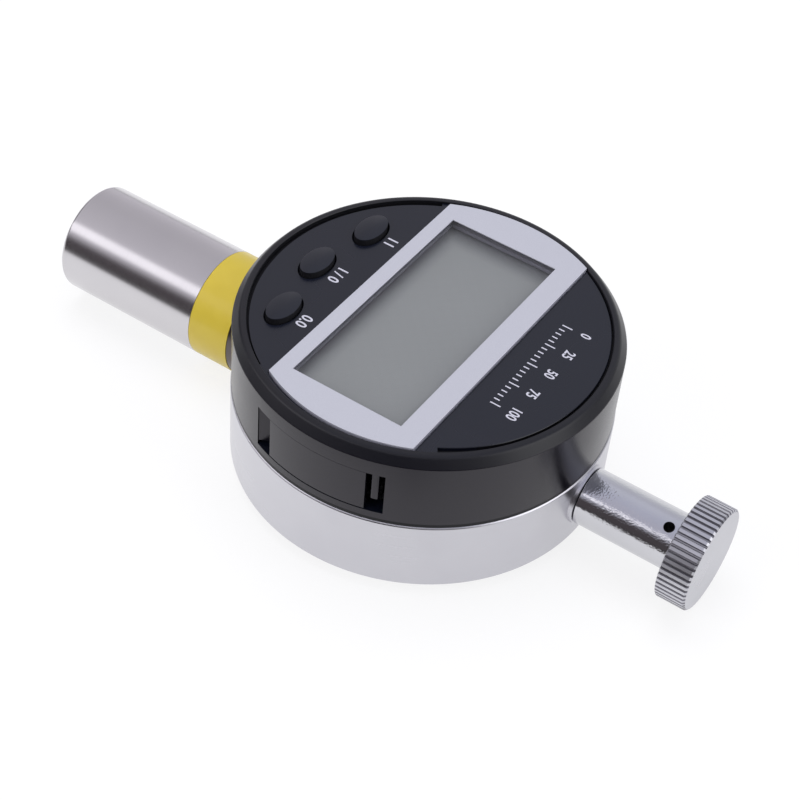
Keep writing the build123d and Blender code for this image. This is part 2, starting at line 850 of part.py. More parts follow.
# Liquid crystal display: contact glass below, front glass above
with BuildPart() as lcd:
    with BuildSketch(level(lcd_bottom)):
        with Locations(window_centre):
            Rectangle(lcd_width, lcd_length)
    extrude(amount=lcd_glass)
    with BuildSketch(level(lcd_bottom + lcd_glass)):
        with Locations(window_centre):
            Rectangle(lcd_width - 2 * lcd_step, lcd_length - 2 * lcd_step)
    extrude(amount=lcd_glass)
finish(lcd, "lcd")

# Frame that stands on the main board round the display
with BuildPart() as lcd_frame:
    frame_inner_width = lcd_width + 2 * moulding_gap
    frame_inner_length = lcd_length + 2 * moulding_gap
    with BuildSketch(level(board_top)):
        with Locations(window_centre):
            Rectangle(frame_inner_width + 2 * lcd_frame_wall, frame_inner_length + 2 * lcd_frame_wall)
            Rectangle(frame_inner_width, frame_inner_length, mode=Mode.SUBTRACT)
    extrude(amount=lcd_top - board_top)
finish(lcd_frame, "lcd_frame")

# Zebra strips: rubber connectors from the main board to the display
zebra_offset = lcd_width / 2 - zebra_inset - zebra_width / 2
with BuildPart() as zebra_strips:
    with BuildSketch(level(board_top)):
        with Locations(window_centre):
            with Locations((-zebra_offset, 0), (zebra_offset, 0)):
                Rectangle(zebra_width, lcd_length - 2 * lcd_margin)
    extrude(amount=zebra_height)
finish(zebra_strips, "zebra_strips")

# Main board and what is soldered to it
with BuildPart() as main_board:
    with BuildSketch(level(board_bottom)):
        Circle(board_radius)
        with Locations(*board_spots):
            Circle(board_screw_sizes[0] + screw_hole_gap, mode=Mode.SUBTRACT)
    extrude(amount=board_thickness)
finish(main_board, "main_board")

with BuildPart() as board_screws:
    drive_up_screws(board_spots, board_bottom, board_screw_sizes)
finish(board_screws, "board_screws")

with BuildPart() as controller_chip:
    with BuildSketch(level(board_top)):
        Rectangle(chip_size, chip_size)
    extrude(amount=chip_thickness)
finish(controller_chip, "controller_chip")

with BuildPart() as crystal:
    with BuildSketch(Plane.XZ.offset(-crystal_length / 2)):
        with Locations((crystal_x, board_top + crystal_radius)):
            Circle(crystal_radius)
    extrude(amount=crystal_length)
finish(crystal, "crystal")

with BuildPart() as snap_domes:
    raise_circles(button_spots.values(), dome_radius, board_top, board_top + dome_height)
finish(snap_domes, "snap_domes")

# Buttons: oval keys with a flange under the face, each above its snap dome
flange_top = face_under - rest_gap
flange_bottom = board_top + dome_height + button_spare_travel + button_travel
for button_name, spot in button_spots.items():
    with BuildPart() as button:
        with BuildSketch(level(flange_bottom)):
            with Locations(spot):
                Ellipse(button_half_width + button_flange_rim, button_half_length + button_flange_rim)
        extrude(amount=flange_top - flange_bottom)
        with BuildSketch(level(flange_top)):
            with Locations(spot):
                Ellipse(button_half_width, button_half_length)
        extrude(amount=face_z + button_proud - flange_top)
        chamfer(button.edges().group_by(Axis.Z)[-1], button_edge)
    finish(button, button_name)

# Battery tray: curved door in one piece with the drawer that holds the cell
with BuildPart() as battery_tray:
    with BuildSketch(level(opening_bottom + door_seam)):
        with Locations((0, -drum_radius / 2)):
            Rectangle(door_width, drum_radius)
        Circle(head_radius, mode=Mode.INTERSECT)
        Circle(door_inner_radius, mode=Mode.SUBTRACT)
    extrude(amount=opening_top - opening_bottom - 2 * door_seam)
    with BuildSketch(level(tray_bottom)):
        with Locations((0, (tray_back_y - drum_radius) / 2)):
            Rectangle(2 * cell_ring_radius, drum_radius + tray_back_y)
        Circle(door_inner_radius + door_thickness / 2, mode=Mode.INTERSECT)
    extrude(amount=tray_floor)
    with BuildSketch(level(cell_bottom)):
        with Locations((0, cell_y)):
            Circle(cell_ring_radius)
            Circle(cell_pocket_radius, mode=Mode.SUBTRACT)
        with Locations((0, tray_back_y)):
            Rectangle(contact_width + 2 * contact_side_gap, cell_ring_radius, mode=Mode.SUBTRACT)
    extrude(amount=tray_wall_height)
finish(battery_tray, "battery_tray")

# Button cell: its cap faces up
with BuildPart() as button_cell:
    raise_circles([(0, cell_y)], cell_radius, cell_bottom, cell_top - cell_cap_height)
    raise_circles([(0, cell_y)], cell_cap_radius, cell_top - cell_cap_height, cell_top)
finish(button_cell, "button_cell")

# Battery contacts: a sprung leaf behind the cell and a tongue above its cap
leaf_y = tray_back_y + contact_stand_off
nose_y = cell_y + cell_radius + contact_touch_gap + contact_thickness
nose_z = cell_bottom + cell_height / 2
half_leaf = contact_thickness / 2
with BuildPart() as positive_contact:
    with BuildSketch(Plane.YZ):
        with BuildLine():
            Polyline(
                (leaf_y + contact_foot, base_top + half_leaf),
                (leaf_y, base_top + half_leaf),
                (leaf_y, cell_bottom),
                (nose_y, nose_z),
                (leaf_y, cell_top - contact_stand_off),
            )
        trace(line_width=contact_thickness)
    extrude(amount=contact_width / 2, both=True)
finish(positive_contact, "positive_contact")

tongue_y = cell_y + contact_reach
with BuildPart() as negative_contact:
    with BuildSketch(Plane.YZ):
        with BuildLine():
            Polyline(
                (tongue_y + contact_foot, board_bottom - half_leaf),
                (tongue_y, board_bottom - half_leaf),
                (cell_y, cell_top + contact_touch_gap + half_leaf),
            )
        trace(line_width=contact_thickness)
    extrude(amount=contact_width / 2, both=True)
finish(negative_contact, "negative_contact")
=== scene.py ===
# %% [markdown]
# A pocket durometer lies on its back: a black display head on a plated drum, a steel barrel with the
# indenter on one side and a knurled knob on a stem on the other. The solids come from CAD, packed with
# their joints, and this lesson dresses them for a picture. Everything stays in the CAD frame, in metres,
# so a piece that is modelled here sits on its neighbours without any fitting.

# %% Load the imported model
import json
import math

import bmesh
import bpy
from mathutils import Matrix, Vector


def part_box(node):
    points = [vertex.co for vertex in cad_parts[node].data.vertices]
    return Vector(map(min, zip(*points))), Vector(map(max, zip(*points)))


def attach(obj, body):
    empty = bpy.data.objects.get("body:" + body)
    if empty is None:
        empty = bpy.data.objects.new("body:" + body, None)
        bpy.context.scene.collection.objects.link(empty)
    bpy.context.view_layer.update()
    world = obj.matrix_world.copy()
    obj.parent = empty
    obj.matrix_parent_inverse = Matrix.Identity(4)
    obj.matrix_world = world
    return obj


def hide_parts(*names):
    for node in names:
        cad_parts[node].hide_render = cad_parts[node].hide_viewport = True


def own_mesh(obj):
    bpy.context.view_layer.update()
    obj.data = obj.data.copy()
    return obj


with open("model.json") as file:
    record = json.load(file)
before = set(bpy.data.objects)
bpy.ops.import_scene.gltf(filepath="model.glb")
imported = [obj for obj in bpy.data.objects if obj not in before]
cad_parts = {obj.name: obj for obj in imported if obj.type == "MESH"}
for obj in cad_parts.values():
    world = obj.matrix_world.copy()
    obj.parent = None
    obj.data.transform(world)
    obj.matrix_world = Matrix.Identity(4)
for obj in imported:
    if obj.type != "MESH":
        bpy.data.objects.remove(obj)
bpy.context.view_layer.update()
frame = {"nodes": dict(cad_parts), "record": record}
mm = 0.001
print("nodes:", len(frame["nodes"]))

# %% [markdown]
# Every object is made and linked to the scene in the same way, so two small functions do it. Shapes are
# modelled as a bmesh, which the second one writes to a mesh.

# %% Adding objects


def add_object(name, data):
    """An object at the origin, linked to the scene."""
    thing = bpy.data.objects.new(name, data)
    bpy.context.scene.collection.objects.link(thing)
    return thing


def add_mesh(name, shape):
    """An object whose mesh takes over a bmesh."""
    mesh = bpy.data.meshes.new(name)
    shape.to_mesh(mesh)
    shape.free()
    return add_object(name, mesh)


# %% [markdown]
# The camera stands where the photographer stood: to the right of the drum's near side, 45 degrees up,
# with a slight roll. A camera is an object whose local Z axis points backwards, so three unit vectors,
# right, up and back, are all that its rotation needs. They are written as the columns of a matrix.

# %% Camera
azimuth, elevation, roll = (math.radians(angle) for angle in (30.374, 45.084, 5.33))
back = Vector((
    math.sin(azimuth) * math.cos(elevation),
    -math.cos(azimuth) * math.cos(elevation),
    math.sin(elevation),
))
level_right = Vector((math.cos(azimuth), math.sin(azimuth), 0))
level_up = back.cross(level_right)
right = math.cos(roll) * level_right + math.sin(roll) * level_up
up = math.cos(roll) * level_up - math.sin(roll) * level_right
shift_right, shift_up, distance, view_angle = -3.673, -2.952, 283.631, 24.062
aim = Vector((0, 0, 15)) + shift_right * right + shift_up * up
eye = (aim + distance * back) * mm

camera = add_object("camera", bpy.data.cameras.new("camera"))
camera.data.sensor_fit = "HORIZONTAL"
camera.data.angle = math.radians(view_angle)
camera.data.clip_start = 10 * mm
camera.matrix_world = Matrix.Translation(eye) @ Matrix((right, up, back)).transposed().to_4x4()
bpy.context.scene.camera = camera
bpy.context.scene.view_settings.view_transform = "Standard"
print("camera at", [round(value, 4) for value in eye])

# %% [markdown]
# Every finish below is a small network of nodes. Wiring nodes one by one makes long code, so two small
# classes do it. Value wraps an output socket, and arithmetic on it adds Math nodes. Graph holds a node
# tree and has one method for any other node: its type, its settings, and what goes into its sockets. Two
# functions start and end a finish.

# %% Value and Graph


class Value:
    """An output socket on which arithmetic adds Math nodes."""

    def __init__(self, graph, socket):
        self.graph = graph
        self.socket = socket

    def math(self, operation, *values):
        return self.graph.node("ShaderNodeMath", {"operation": operation}, dict(enumerate(values)))

    def __add__(self, other):
        return self.math("ADD", self, other)

    __radd__ = __add__

    def __sub__(self, other):
        return self.math("SUBTRACT", self, other)

    def __rsub__(self, other):
        return self.math("SUBTRACT", other, self)

    def __mul__(self, other):
        return self.math("MULTIPLY", self, other)

    __rmul__ = __mul__

    def __truediv__(self, other):
        return self.math("DIVIDE", self, other)

    def __gt__(self, other):
        return self.math("GREATER_THAN", self, other)


class Graph:
    """A node tree that is filled through one method."""

    def __init__(self, tree):
        self.tree = tree
        tree.nodes.clear()

    def node(self, kind, settings=None, sockets=None, output=0):
        made = self.tree.nodes.new(kind)
        for name, setting in (settings or {}).items():
            if name == "stops":
                stops = made.color_ramp.elements
                stops[0].position, stops[0].color = setting[0]
                stops[1].position, stops[1].color = setting[-1]
                for place, colour in setting[1:-1]:
                    stops.new(place).color = colour
            else:
                setattr(made, name, setting)
        for name, value in (sockets or {}).items():
            if isinstance(value, Value):
                self.tree.links.new(value.socket, made.inputs[name])
            else:
                made.inputs[name].default_value = value
        return Value(self, made.outputs[output]) if made.outputs else None

    def blend(self, factor, first, second):
        """Mixes two colours."""
        return self.node("ShaderNodeMix", {"data_type": "RGBA"}, {0: factor, 6: first, 7: second}, 2)

    def mix(self, factor, first, second):
        """Mixes two shaders."""
        return self.node("ShaderNodeMixShader", None, {0: factor, 1: first, 2: second})

    def noise(self, place, size, detail=2.0):
        """Cloudy values round 0.5 whose lumps are about size millimetres across."""
        sockets = {"Vector": place, "Scale": 1 / (size * mm), "Detail": detail}
        return self.node("ShaderNodeTexNoise", None, sockets)

    def bump(self, height, strength, depth):
        """A normal that follows a height whose full swing is depth millimetres."""
        sockets = {"Strength": strength, "Distance": depth * mm, "Height": height}
        return self.node("ShaderNodeBump", None, sockets)

    def part(self, place, axis):
        """One coordinate of a place, in metres."""
        return self.node("ShaderNodeSeparateXYZ", None, {"Vector": place}, axis)

    def fade(self, value, start, end, first=0.0, last=1.0):
        """A number that goes smoothly from first to last while a value goes from start to end."""
        sockets = dict(enumerate((value, start, end, first, last)))
        return self.node("ShaderNodeMapRange", {"interpolation_type": "SMOOTHSTEP"}, sockets)


white = (1.0, 1.0, 1.0, 1.0)
finishes = {}


def open_finish(slot):
    """Starts a material and gives its graph and the place on the piece."""
    material = bpy.data.materials.new(slot)
    material.use_nodes = True
    finishes[slot] = material
    graph = Graph(material.node_tree)
    return graph, graph.node("ShaderNodeTexCoord", output="Object")


def close_finish(graph, sockets):
    """Ends a material with one Principled shader."""
    shader = graph.node("ShaderNodeBsdfPrincipled", None, sockets)
    graph.node("ShaderNodeOutputMaterial", None, {"Surface": shader})


def tint(red, green, blue):
    """Display values from 0 to 255 as the linear colour that Blender works in."""
    linear = []
    for value in (red / 255, green / 255, blue / 255):
        linear.append(value / 12.92 if value <= 0.04045 else ((value + 0.055) / 1.055) ** 2.4)
    return (*linear, 1.0)


print("mid grey in linear light:", [round(value, 3) for value in tint(128, 128, 128)])

# %% [markdown]
# Metal shows what stands round it. In the photograph the barrel has a grey band, a white one, a dark one
# and a pale one, which are a dull ceiling, a strip light over the camera, the dark room behind it and
# the white table. The world is painted that way. A colour ramp turns about the X axis, with zero at the
# zenith and positive angles towards the camera's side, and it is bluer on the stem's side. Both ends of
# the ceiling are darker. The dark room has a slanting edge, so it depends on the angle and on X. The strip
# light narrows over the drum, and a window on the right gives the rim its soft highlight. Camera rays
# alone see plain white.

# %% Studio world
world = bpy.data.worlds.new("studio")
bpy.context.scene.world = world
world.use_nodes = True
sky = Graph(world.node_tree)
direction = sky.node("ShaderNodeTexCoord", output="Generated")
sideways = sky.part(direction, 0)
turned = direction.math("ARCTAN2", sky.part(direction, 1) * -1, sky.part(direction, 2)) * (180 / math.pi)


def ceiling_ramp(bands):
    """A ramp over the angle about X, from stops of (angle, colour)."""
    stops = [(0.5 + angle / 360, (*colour, 1.0)) for angle, colour in bands]
    return sky.node("ShaderNodeValToRGB", {"stops": stops}, {0: turned / 360 + 0.5})


barrel_levels = (
    (-180, 0.80), (-110, 0.78), (-88, 0.74), (-74, 0.69), (-58, 0.62),
    (-35, 0.59), (0, 0.64), (28, 0.70), (180, 0.80),
)
lilac = Vector((1.0, 0.97, 1.04))
barrel_side = ceiling_ramp([(angle, level * lilac) for angle, level in barrel_levels])
stem_side = ceiling_ramp([
    (-110, (1.04, 1.05, 1.05)), (-89, (1.00, 1.01, 1.01)), (-81, (0.85, 0.86, 0.88)),
    (-65, (0.64, 0.65, 0.70)), (-49, (0.57, 0.575, 0.65)), (-33, (0.65, 0.665, 0.755)),
    (-17, (0.615, 0.63, 0.727)), (-1, (0.56, 0.575, 0.684)), (31, (0.54, 0.54, 0.635)),
    (180, (0.80, 0.80, 0.82)),
])
left_end_grey, right_end_grey = (0.18, 0.18, 0.20, 1.0), (0.28, 0.28, 0.31, 1.0)
room_left, room_right = (0.080, 0.070, 0.076, 1.0), (0.012, 0.011, 0.012, 1.0)
ceiling = sky.blend(sky.fade(sideways, -0.45, -0.25), barrel_side, stem_side)
ceiling = sky.blend(sky.fade(sideways, -0.80, -0.95), ceiling, left_end_grey)
right_end = sky.fade(sideways, 0.20, 0.60) * sky.fade(turned, -50, -75) * sky.fade(turned, -125, -110)
ceiling = sky.blend(right_end, ceiling, right_end_grey)
dark_room = sky.fade(turned + sideways * 28, 40, 62)
room_shade = sky.blend(sky.fade(sideways, -0.15, 0.20), room_left, room_right)
ceiling = sky.blend(dark_room, ceiling, room_shade)

strip_middle, strip_blur, strip_light = 46.0, 1.5, (1.50, 1.47, 1.54, 1.0)
strip_half = sky.fade(sideways, -0.42, -0.28, 9.8, 3.2)
beside_strip = turned.math("ABSOLUTE", turned - strip_middle)
strip = sky.fade(beside_strip, strip_half + strip_blur, strip_half - strip_blur)
strip = strip * sky.fade(sideways, -0.42, -0.28, 1.0, 0.7)
lights = sky.blend(strip, ceiling, strip_light)

window_way, window_light = Vector((0.86, 0.12, 0.49)).normalized(), (1.85, 1.85, 1.90, 1.0)
product = {"operation": "DOT_PRODUCT"}
facing_window = sky.node("ShaderNodeVectorMath", product, {0: direction, 1: window_way}, "Value")
lights = sky.blend(sky.fade(facing_window, 0.88, 0.97), lights, window_light)
seen = sky.node("ShaderNodeLightPath", output="Is Camera Ray")
room = sky.node("ShaderNodeBackground", None, {"Color": sky.blend(seen, lights, white)})
sky.node("ShaderNodeOutputWorld", None, {"Surface": room})
print("world nodes:", len(world.node_tree.nodes))

# %% [markdown]
# One large soft lamp hangs over the table, so that a colour on an upward face renders about as it is
# written. A weak one near the camera lifts the sides. Both are left out of reflections, because the
# world's ramp already holds the lights that the metal shows.

# %% Lamps


def hang_lamp(name, watts, size, place):
    """A round area lamp that looks at the origin and stays out of reflections."""
    light = bpy.data.lights.new(name, "AREA")
    light.shape = "DISK"
    light.size = size
    light.energy = watts
    lamp = add_object(name, light)
    lamp.location = place
    lamp.rotation_euler = (-lamp.location).to_track_quat("-Z", "Y").to_euler()
    lamp.visible_glossy = False
    print(f"{name}: {watts} watts")


hang_lamp("softbox", 1.35, 0.5, (-0.12, 0.10, 0.6))
hang_lamp("fill", 0.55, 0.35, (-0.12, -0.42, 0.22))

# %% [markdown]
# The table is white to the edge of the picture, yet the durometer must not float. The part of its light
# that the camera and the metal see is mostly its own glow, and the rest is lit paper, which still takes a
# soft shadow. The metal also shows where the paper ends, in front of the camera, and that it darkens far
# behind the barrel. Other rays meet plain white paper.

# %% Table
table_radius = 1.2
table_shape = bmesh.new()
bmesh.ops.create_circle(table_shape, cap_ends=True, segments=96, radius=table_radius)
bmesh.ops.translate(table_shape, verts=table_shape.verts, vec=(0, 0, -0.02 * mm))
table = add_mesh("table", table_shape)

paper, paper_place = open_finish("table_paper")
shown = paper.node("ShaderNodeLightPath", output="Is Camera Ray")
shown = shown + paper.node("ShaderNodeLightPath", output="Is Transmission Ray")
mirrored = paper.node("ShaderNodeLightPath", output="Is Glossy Ray")
paper_x, paper_y = paper.part(paper_place, 0), paper.part(paper_place, 1)
paper_step = paper.fade(paper_x, 0.010, 0.028, 0.0, 0.018)
paper_end = paper.fade(paper_y - paper_step, -0.055, -0.085)
lit_paper = paper.node("ShaderNodeBsdfDiffuse", None, {"Color": (0.9, 0.9, 0.9, 1.0)})
dim_paper = paper.node("ShaderNodeBsdfDiffuse", None, {"Color": (0.22, 0.22, 0.22, 1.0)})
glow_strength = 0.80
glow = paper.node("ShaderNodeEmission", None, {"Color": white, "Strength": glow_strength})
shown_paper = paper.node("ShaderNodeAddShader", None, {0: dim_paper, 1: glow})
# Painted shadow: the glow that the metal mirrors is a tenth dimmer on the right, near the stem, for the
# durometer's own shadow.
right_shade_level = paper.fade(paper_x, -0.03, 0.03, 1.0, 0.90)
far_level = paper.fade(paper_x, -0.24, -0.11, 0.35, 1.0) * paper.fade(paper_y, 0.12, 0.26, 1.0, 0.7)
dimmer = paper.blend(right_shade_level * far_level, (0.0, 0.0, 0.0, 1.0), (1.0, 1.0, 1.01, 1.0))
mirrored_glow = paper.node("ShaderNodeEmission", None, {"Color": dimmer, "Strength": glow_strength})
glossy_paper = paper.node("ShaderNodeAddShader", None, {0: dim_paper, 1: mirrored_glow})
past_paper = paper.node("ShaderNodeBsdfDiffuse", None, {"Color": (0.06, 0.055, 0.055, 1.0)})
mirrored_paper = paper.mix(paper_end, glossy_paper, past_paper)
surface = paper.mix(shown, lit_paper, shown_paper)
surface = paper.mix(mirrored, surface, mirrored_paper)
paper.node("ShaderNodeOutputMaterial", None, {"Surface": surface})
table.data.materials.append(finishes["table_paper"])
print("table radius:", table_radius)

# %% [markdown]
# Metals come first. Turned or plated steel is never one grey: the tool leaves fine rings, and handling
# leaves faint clouds. Rings are a noise of one coordinate only, along the axis that the piece turned on.
# They feed the roughness and a very shallow bump, and the clouds feed the colour.

# %% Metal finishes
lengthways, upright = 0, 2


def metal_finish(slot, pale, dull, roughness, ring_size, ring_depth, ring_axis=lengthways):
    """Metal with tool rings along one axis and faint clouds."""
    graph, place = open_finish(slot)
    ring_place = graph.part(place, ring_axis) / (ring_size * mm)
    ring_sockets = {"W": ring_place, "Scale": 1.0, "Detail": 3.0}
    rings = graph.node("ShaderNodeTexNoise", {"noise_dimensions": "1D"}, ring_sockets)
    clouds = graph.noise(place, 9.0)
    close_finish(graph, {
        "Base Color": graph.blend(clouds, pale, dull),
        "Metallic": 1.0,
        "Roughness": roughness * (0.75 + rings * 0.3 + clouds * 0.2),
        "Normal": graph.bump(rings, ring_depth, 0.01),
    })


metal_finish("turned_steel", (0.65, 0.635, 0.65, 1), (0.60, 0.585, 0.605, 1), 0.20, 0.35, 0.10)
metal_finish("plated_drum", (0.65, 0.645, 0.68, 1), (0.595, 0.59, 0.63, 1), 0.30, 0.30, 0.12, upright)
# Painted shade: a dark steel for the neck, for the shade between the tape and the head.
metal_finish("neck_shaded_steel", (0.15, 0.13, 0.125, 1), (0.10, 0.085, 0.082, 1), 0.30, 0.30, 0.12)
metal_finish("knurl_chrome", (0.69, 0.69, 0.73, 1), (0.61, 0.61, 0.65, 1), 0.46, 3.00, 0.05)
# Painted shade for the knob's grooves: a darker chrome.
metal_finish("groove_shade_chrome", (0.43, 0.425, 0.45, 1), (0.35, 0.345, 0.37, 1), 0.46, 3.00, 0.05)
metal_finish("worn_chrome", (0.60, 0.60, 0.64, 1), (0.525, 0.525, 0.565, 1), 0.30, 3.00, 0.05)
metal_finish("ground_steel", (0.66, 0.66, 0.67, 1), (0.58, 0.58, 0.60, 1), 0.20, 0.20, 0.08)
metal_finish("screw_steel", (0.55, 0.55, 0.57, 1), (0.42, 0.42, 0.44, 1), 0.28, 0.15, 0.15, upright)
metal_finish("cell_steel", (0.66, 0.66, 0.66, 1), (0.55, 0.55, 0.56, 1), 0.22, 0.25, 0.08, upright)
metal_finish("spring_steel", (0.40, 0.40, 0.42, 1), (0.28, 0.28, 0.30, 1), 0.32, 0.12, 0.15)
metal_finish("bush_brass", (0.62, 0.46, 0.20, 1), (0.50, 0.36, 0.15, 1), 0.25, 0.20, 0.12)
print("finishes so far:", ", ".join(finishes))

# %% [markdown]
# Bright chrome on the stem is a mirror with a skin like fine orange peel. The skin is a soft lumpy bump,
# shallow enough that reflections only waver at their edges. It is calmer towards the stem's root, where the
# head is mirrored as one dark patch.

# %% Bright chrome
graph, place = open_finish("bright_chrome")
peel_size, peel_depth = 0.32, 0.036
calmer_root = graph.fade(graph.part(place, 0), 30.5 * mm, 34.5 * mm, 0.45, 1.0)
peel = graph.noise(place, peel_size) * calmer_root
haze = graph.noise(place, 6.0)
close_finish(graph, {
    "Base Color": graph.blend(haze, (0.67, 0.67, 0.70, 1), (0.62, 0.62, 0.65, 1)),
    "Metallic": 1.0,
    "Roughness": 0.04 + haze * 0.05,
    "Normal": graph.bump(peel, 1.0, peel_depth),
})
print("chrome peel in mm:", peel_size)

# %% [markdown]
# The head is moulded in black plastic with a fine spark texture. Two noises make it: a fine one gives the
# grain of the mould, and a wide one lets the gloss drift a little, as it does where fingers polish it. The
# wall, the rim and a narrow band at the wall's foot differ in gloss, so each has a finish of its own. Deep
# black is painted shade, for holes, grooves and that band at the wall's foot, where little light comes back.

# %% Moulded plastics


def plastic_finish(slot, colour, worn, roughness, grain_size, grain_depth, sheen=0.5, sheen_tint=white):
    """Moulded plastic with a fine grain and a drifting gloss."""
    graph, place = open_finish(slot)
    grain = graph.noise(place, grain_size, 3.0)
    drift = graph.noise(place, 12.0)
    close_finish(graph, {
        "Base Color": graph.blend(grain * 0.5 + drift * 0.5, colour, worn),
        "Roughness": roughness - 0.06 + drift * 0.12,
        "Specular IOR Level": sheen,
        "Specular Tint": sheen_tint,
        "Normal": graph.bump(grain, grain_depth, 0.02),
    })


black, worn_black = (0.004, 0.0055, 0.0125, 1), (0.007, 0.0085, 0.0165, 1)
wall_black, worn_wall = (0.0045, 0.004, 0.0075, 1), (0.0075, 0.007, 0.0105, 1)
shade_black, shade_black_varied = (0.003, 0.003, 0.005, 1), (0.006, 0.006, 0.008, 1)
lilac_sheen = (0.97, 0.93, 1.0, 1.0)
plastic_finish("black_plastic", black, worn_black, 0.27, 0.25, 0.16)
plastic_finish("wall_plastic", wall_black, worn_wall, 0.24, 0.25, 0.14, 0.50, lilac_sheen)
# Painted shade: a dark, less glossy band at the foot of the head's wall.
plastic_finish("joint_shade_plastic", shade_black, shade_black_varied, 0.30, 0.25, 0.16, 0.20)
plastic_finish("rim_plastic", (0.004, 0.004, 0.0075, 1), (0.007, 0.007, 0.0105, 1), 0.34, 0.25, 0.16, 0.44)
plastic_finish("button_plastic", black, worn_black, 0.30, 0.20, 0.20)
# Painted shade: a pale grey on the display's well stands for the soft band of shade along the window.
plastic_finish("well_shade_band", tint(122, 122, 131), tint(134, 134, 143), 0.60, 0.20, 0.10)
plastic_finish("hole_shadow", shade_black, shade_black_varied, 0.70, 0.20, 0.10, 0.35)
plastic_finish("inner_plastic", (0.045, 0.045, 0.050, 1), (0.065, 0.065, 0.070, 1), 0.50, 0.30, 0.15)
plastic_finish("chip_resin", (0.012, 0.012, 0.013, 1), (0.022, 0.022, 0.024, 1), 0.55, 0.10, 0.20)
plastic_finish("zebra_rubber", (0.050, 0.050, 0.055, 1), (0.090, 0.090, 0.095, 1), 0.65, 0.15, 0.20)
plastic_finish("flex_film", (0.42, 0.20, 0.035, 1), (0.50, 0.26, 0.05, 1), 0.35, 0.60, 0.10)
plastic_finish("circuit_board", (0.012, 0.085, 0.030, 1), (0.020, 0.120, 0.045, 1), 0.38, 0.50, 0.12)
print("finishes so far:", ", ".join(finishes))

# %% [markdown]
# The display has three layers. A silver print frames the window, with a fine flake in its lacquer. Below
# it lies a clear plate, which mirrors at a slant, so a Fresnel factor mixes a mirror over plain
# transparency, on the side that light comes in at. Its sawn edges are dull, and they are told apart by a
# normal that doesn't point up. At the bottom, the blank glass of the display is a warm grey with a faint
# weave of its cells. It darkens softly along three edges, where the frame keeps light away.

# %% Display finishes
graph, place = open_finish("silver_print")
flake = graph.noise(place, 0.12, 1.0)
close_finish(graph, {
    "Base Color": graph.blend(flake, tint(179, 180, 190), tint(197, 198, 206)),
    "Roughness": 0.34 + flake * 0.14,
    "Normal": graph.bump(flake, 0.06, 0.01),
})

graph, place = open_finish("clear_plastic")
upward = graph.part(graph.node("ShaderNodeNewGeometry", output="Normal"), 2)
sawn = 1 - (upward * upward > 0.3)
mirror = graph.node("ShaderNodeBsdfGlossy", None, {"Color": white, "Roughness": 0.05})
through = graph.node("ShaderNodeBsdfTransparent", None, {"Color": (0.97, 0.97, 0.98, 1)})
from_above = 1 - graph.node("ShaderNodeNewGeometry", output="Backfacing")
sheen = graph.node("ShaderNodeFresnel", None, {"IOR": 1.45}) * from_above
pane = graph.mix(sheen, through, mirror)
scratches = graph.noise(place, 0.3, 2.0)
edge = graph.node("ShaderNodeBsdfPrincipled", None, {
    "Base Color": graph.blend(scratches, tint(176, 176, 190), tint(194, 194, 208)),
    "Roughness": 0.35,
})
plate = graph.mix(sawn, pane, edge)
graph.node("ShaderNodeOutputMaterial", None, {"Surface": plate})

graph, place = open_finish("lcd_glass")
cells = graph.node("ShaderNodeTexChecker", None, {
    "Vector": place,
    "Color1": tint(141, 144, 141),
    "Color2": tint(142, 145, 142),
    "Scale": 1 / (1.2 * mm),
})
cloud = graph.noise(place, 14.0)
knob_edge, foot_edge, far_edge = 10.9, 10.5, 20.9
shade_start, shade_end, shade_depth = 1.0, 3.7, 0.45
inset_knob = knob_edge - graph.part(place, 0) / mm
inset_foot = foot_edge + graph.part(place, 0) / mm
inset_far = far_edge - graph.part(place, 1) / mm
nearest = inset_knob.math("MINIMUM", inset_knob.math("MINIMUM", inset_knob, inset_foot), inset_far)
shade_sockets = {0: nearest, 1: shade_start, 2: shade_end, 3: shade_depth, 4: 0.0}
border = graph.node("ShaderNodeMapRange", None, shade_sockets)
cloudy_cells = graph.blend(cloud * 0.5, cells, tint(131, 134, 130))
close_finish(graph, {
    "Base Color": graph.blend(border, cloudy_cells, tint(70, 70, 80)),
    "Roughness": 0.30 + cloud * 0.15,
    "Coat Weight": 0.2,
})
print("display layers:", 3)

# %% [markdown]
# The tape over the barrel's joint is thin mustard film. Its glue shows through in slow clouds, and small
# creases run round the barrel. The creases are noise that is stretched along the turn, made by
# scaling the place before the noise reads it. The ink of the printed marks is pale, with fine specks.

# %% Tape and ink finishes
graph, place = open_finish("tape_film")
stretched = graph.node("ShaderNodeMapping", None, {"Vector": place, "Scale": (6.0, 1.0, 1.0)})
creases = graph.noise(stretched, 3.0, 3.0)
glue = graph.noise(place, 5.0)
close_finish(graph, {
    "Base Color": graph.blend(glue, tint(224, 201, 66), tint(210, 184, 50)),
    "Roughness": 0.30 + creases * 0.2,
    "Coat Weight": 0.25,
    "Normal": graph.bump(creases, 0.25, 0.05),
})

graph, place = open_finish("legend_ink")
speck = graph.noise(place, 0.15)
close_finish(graph, {
    "Base Color": graph.blend(speck, tint(196, 196, 208), tint(214, 214, 224)),
    "Roughness": 0.55,
})
print("finishes:", len(finishes))

# %% [markdown]
# Round pieces are turned: half of the outline is drawn beside the axis and spun a full turn. A full spin
# merges its last ring with its first, points on the axis are welded, and the normals are then turned
# outwards. The same spin makes arcs and coils below. Pieces on the spindle are spun upright too, and then
# laid down along X.

# %% Turning and softening
spindle_low, spindle_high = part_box("spindle")
axis_height = (spindle_low.z + spindle_high.z) / 2


def weld(shape):
    """Closes seams and poles, and turns the faces outwards."""
    bmesh.ops.remove_doubles(shape, verts=shape.verts, dist=0.0005 * mm)
    bmesh.ops.recalc_face_normals(shape, faces=shape.faces)
    return shape


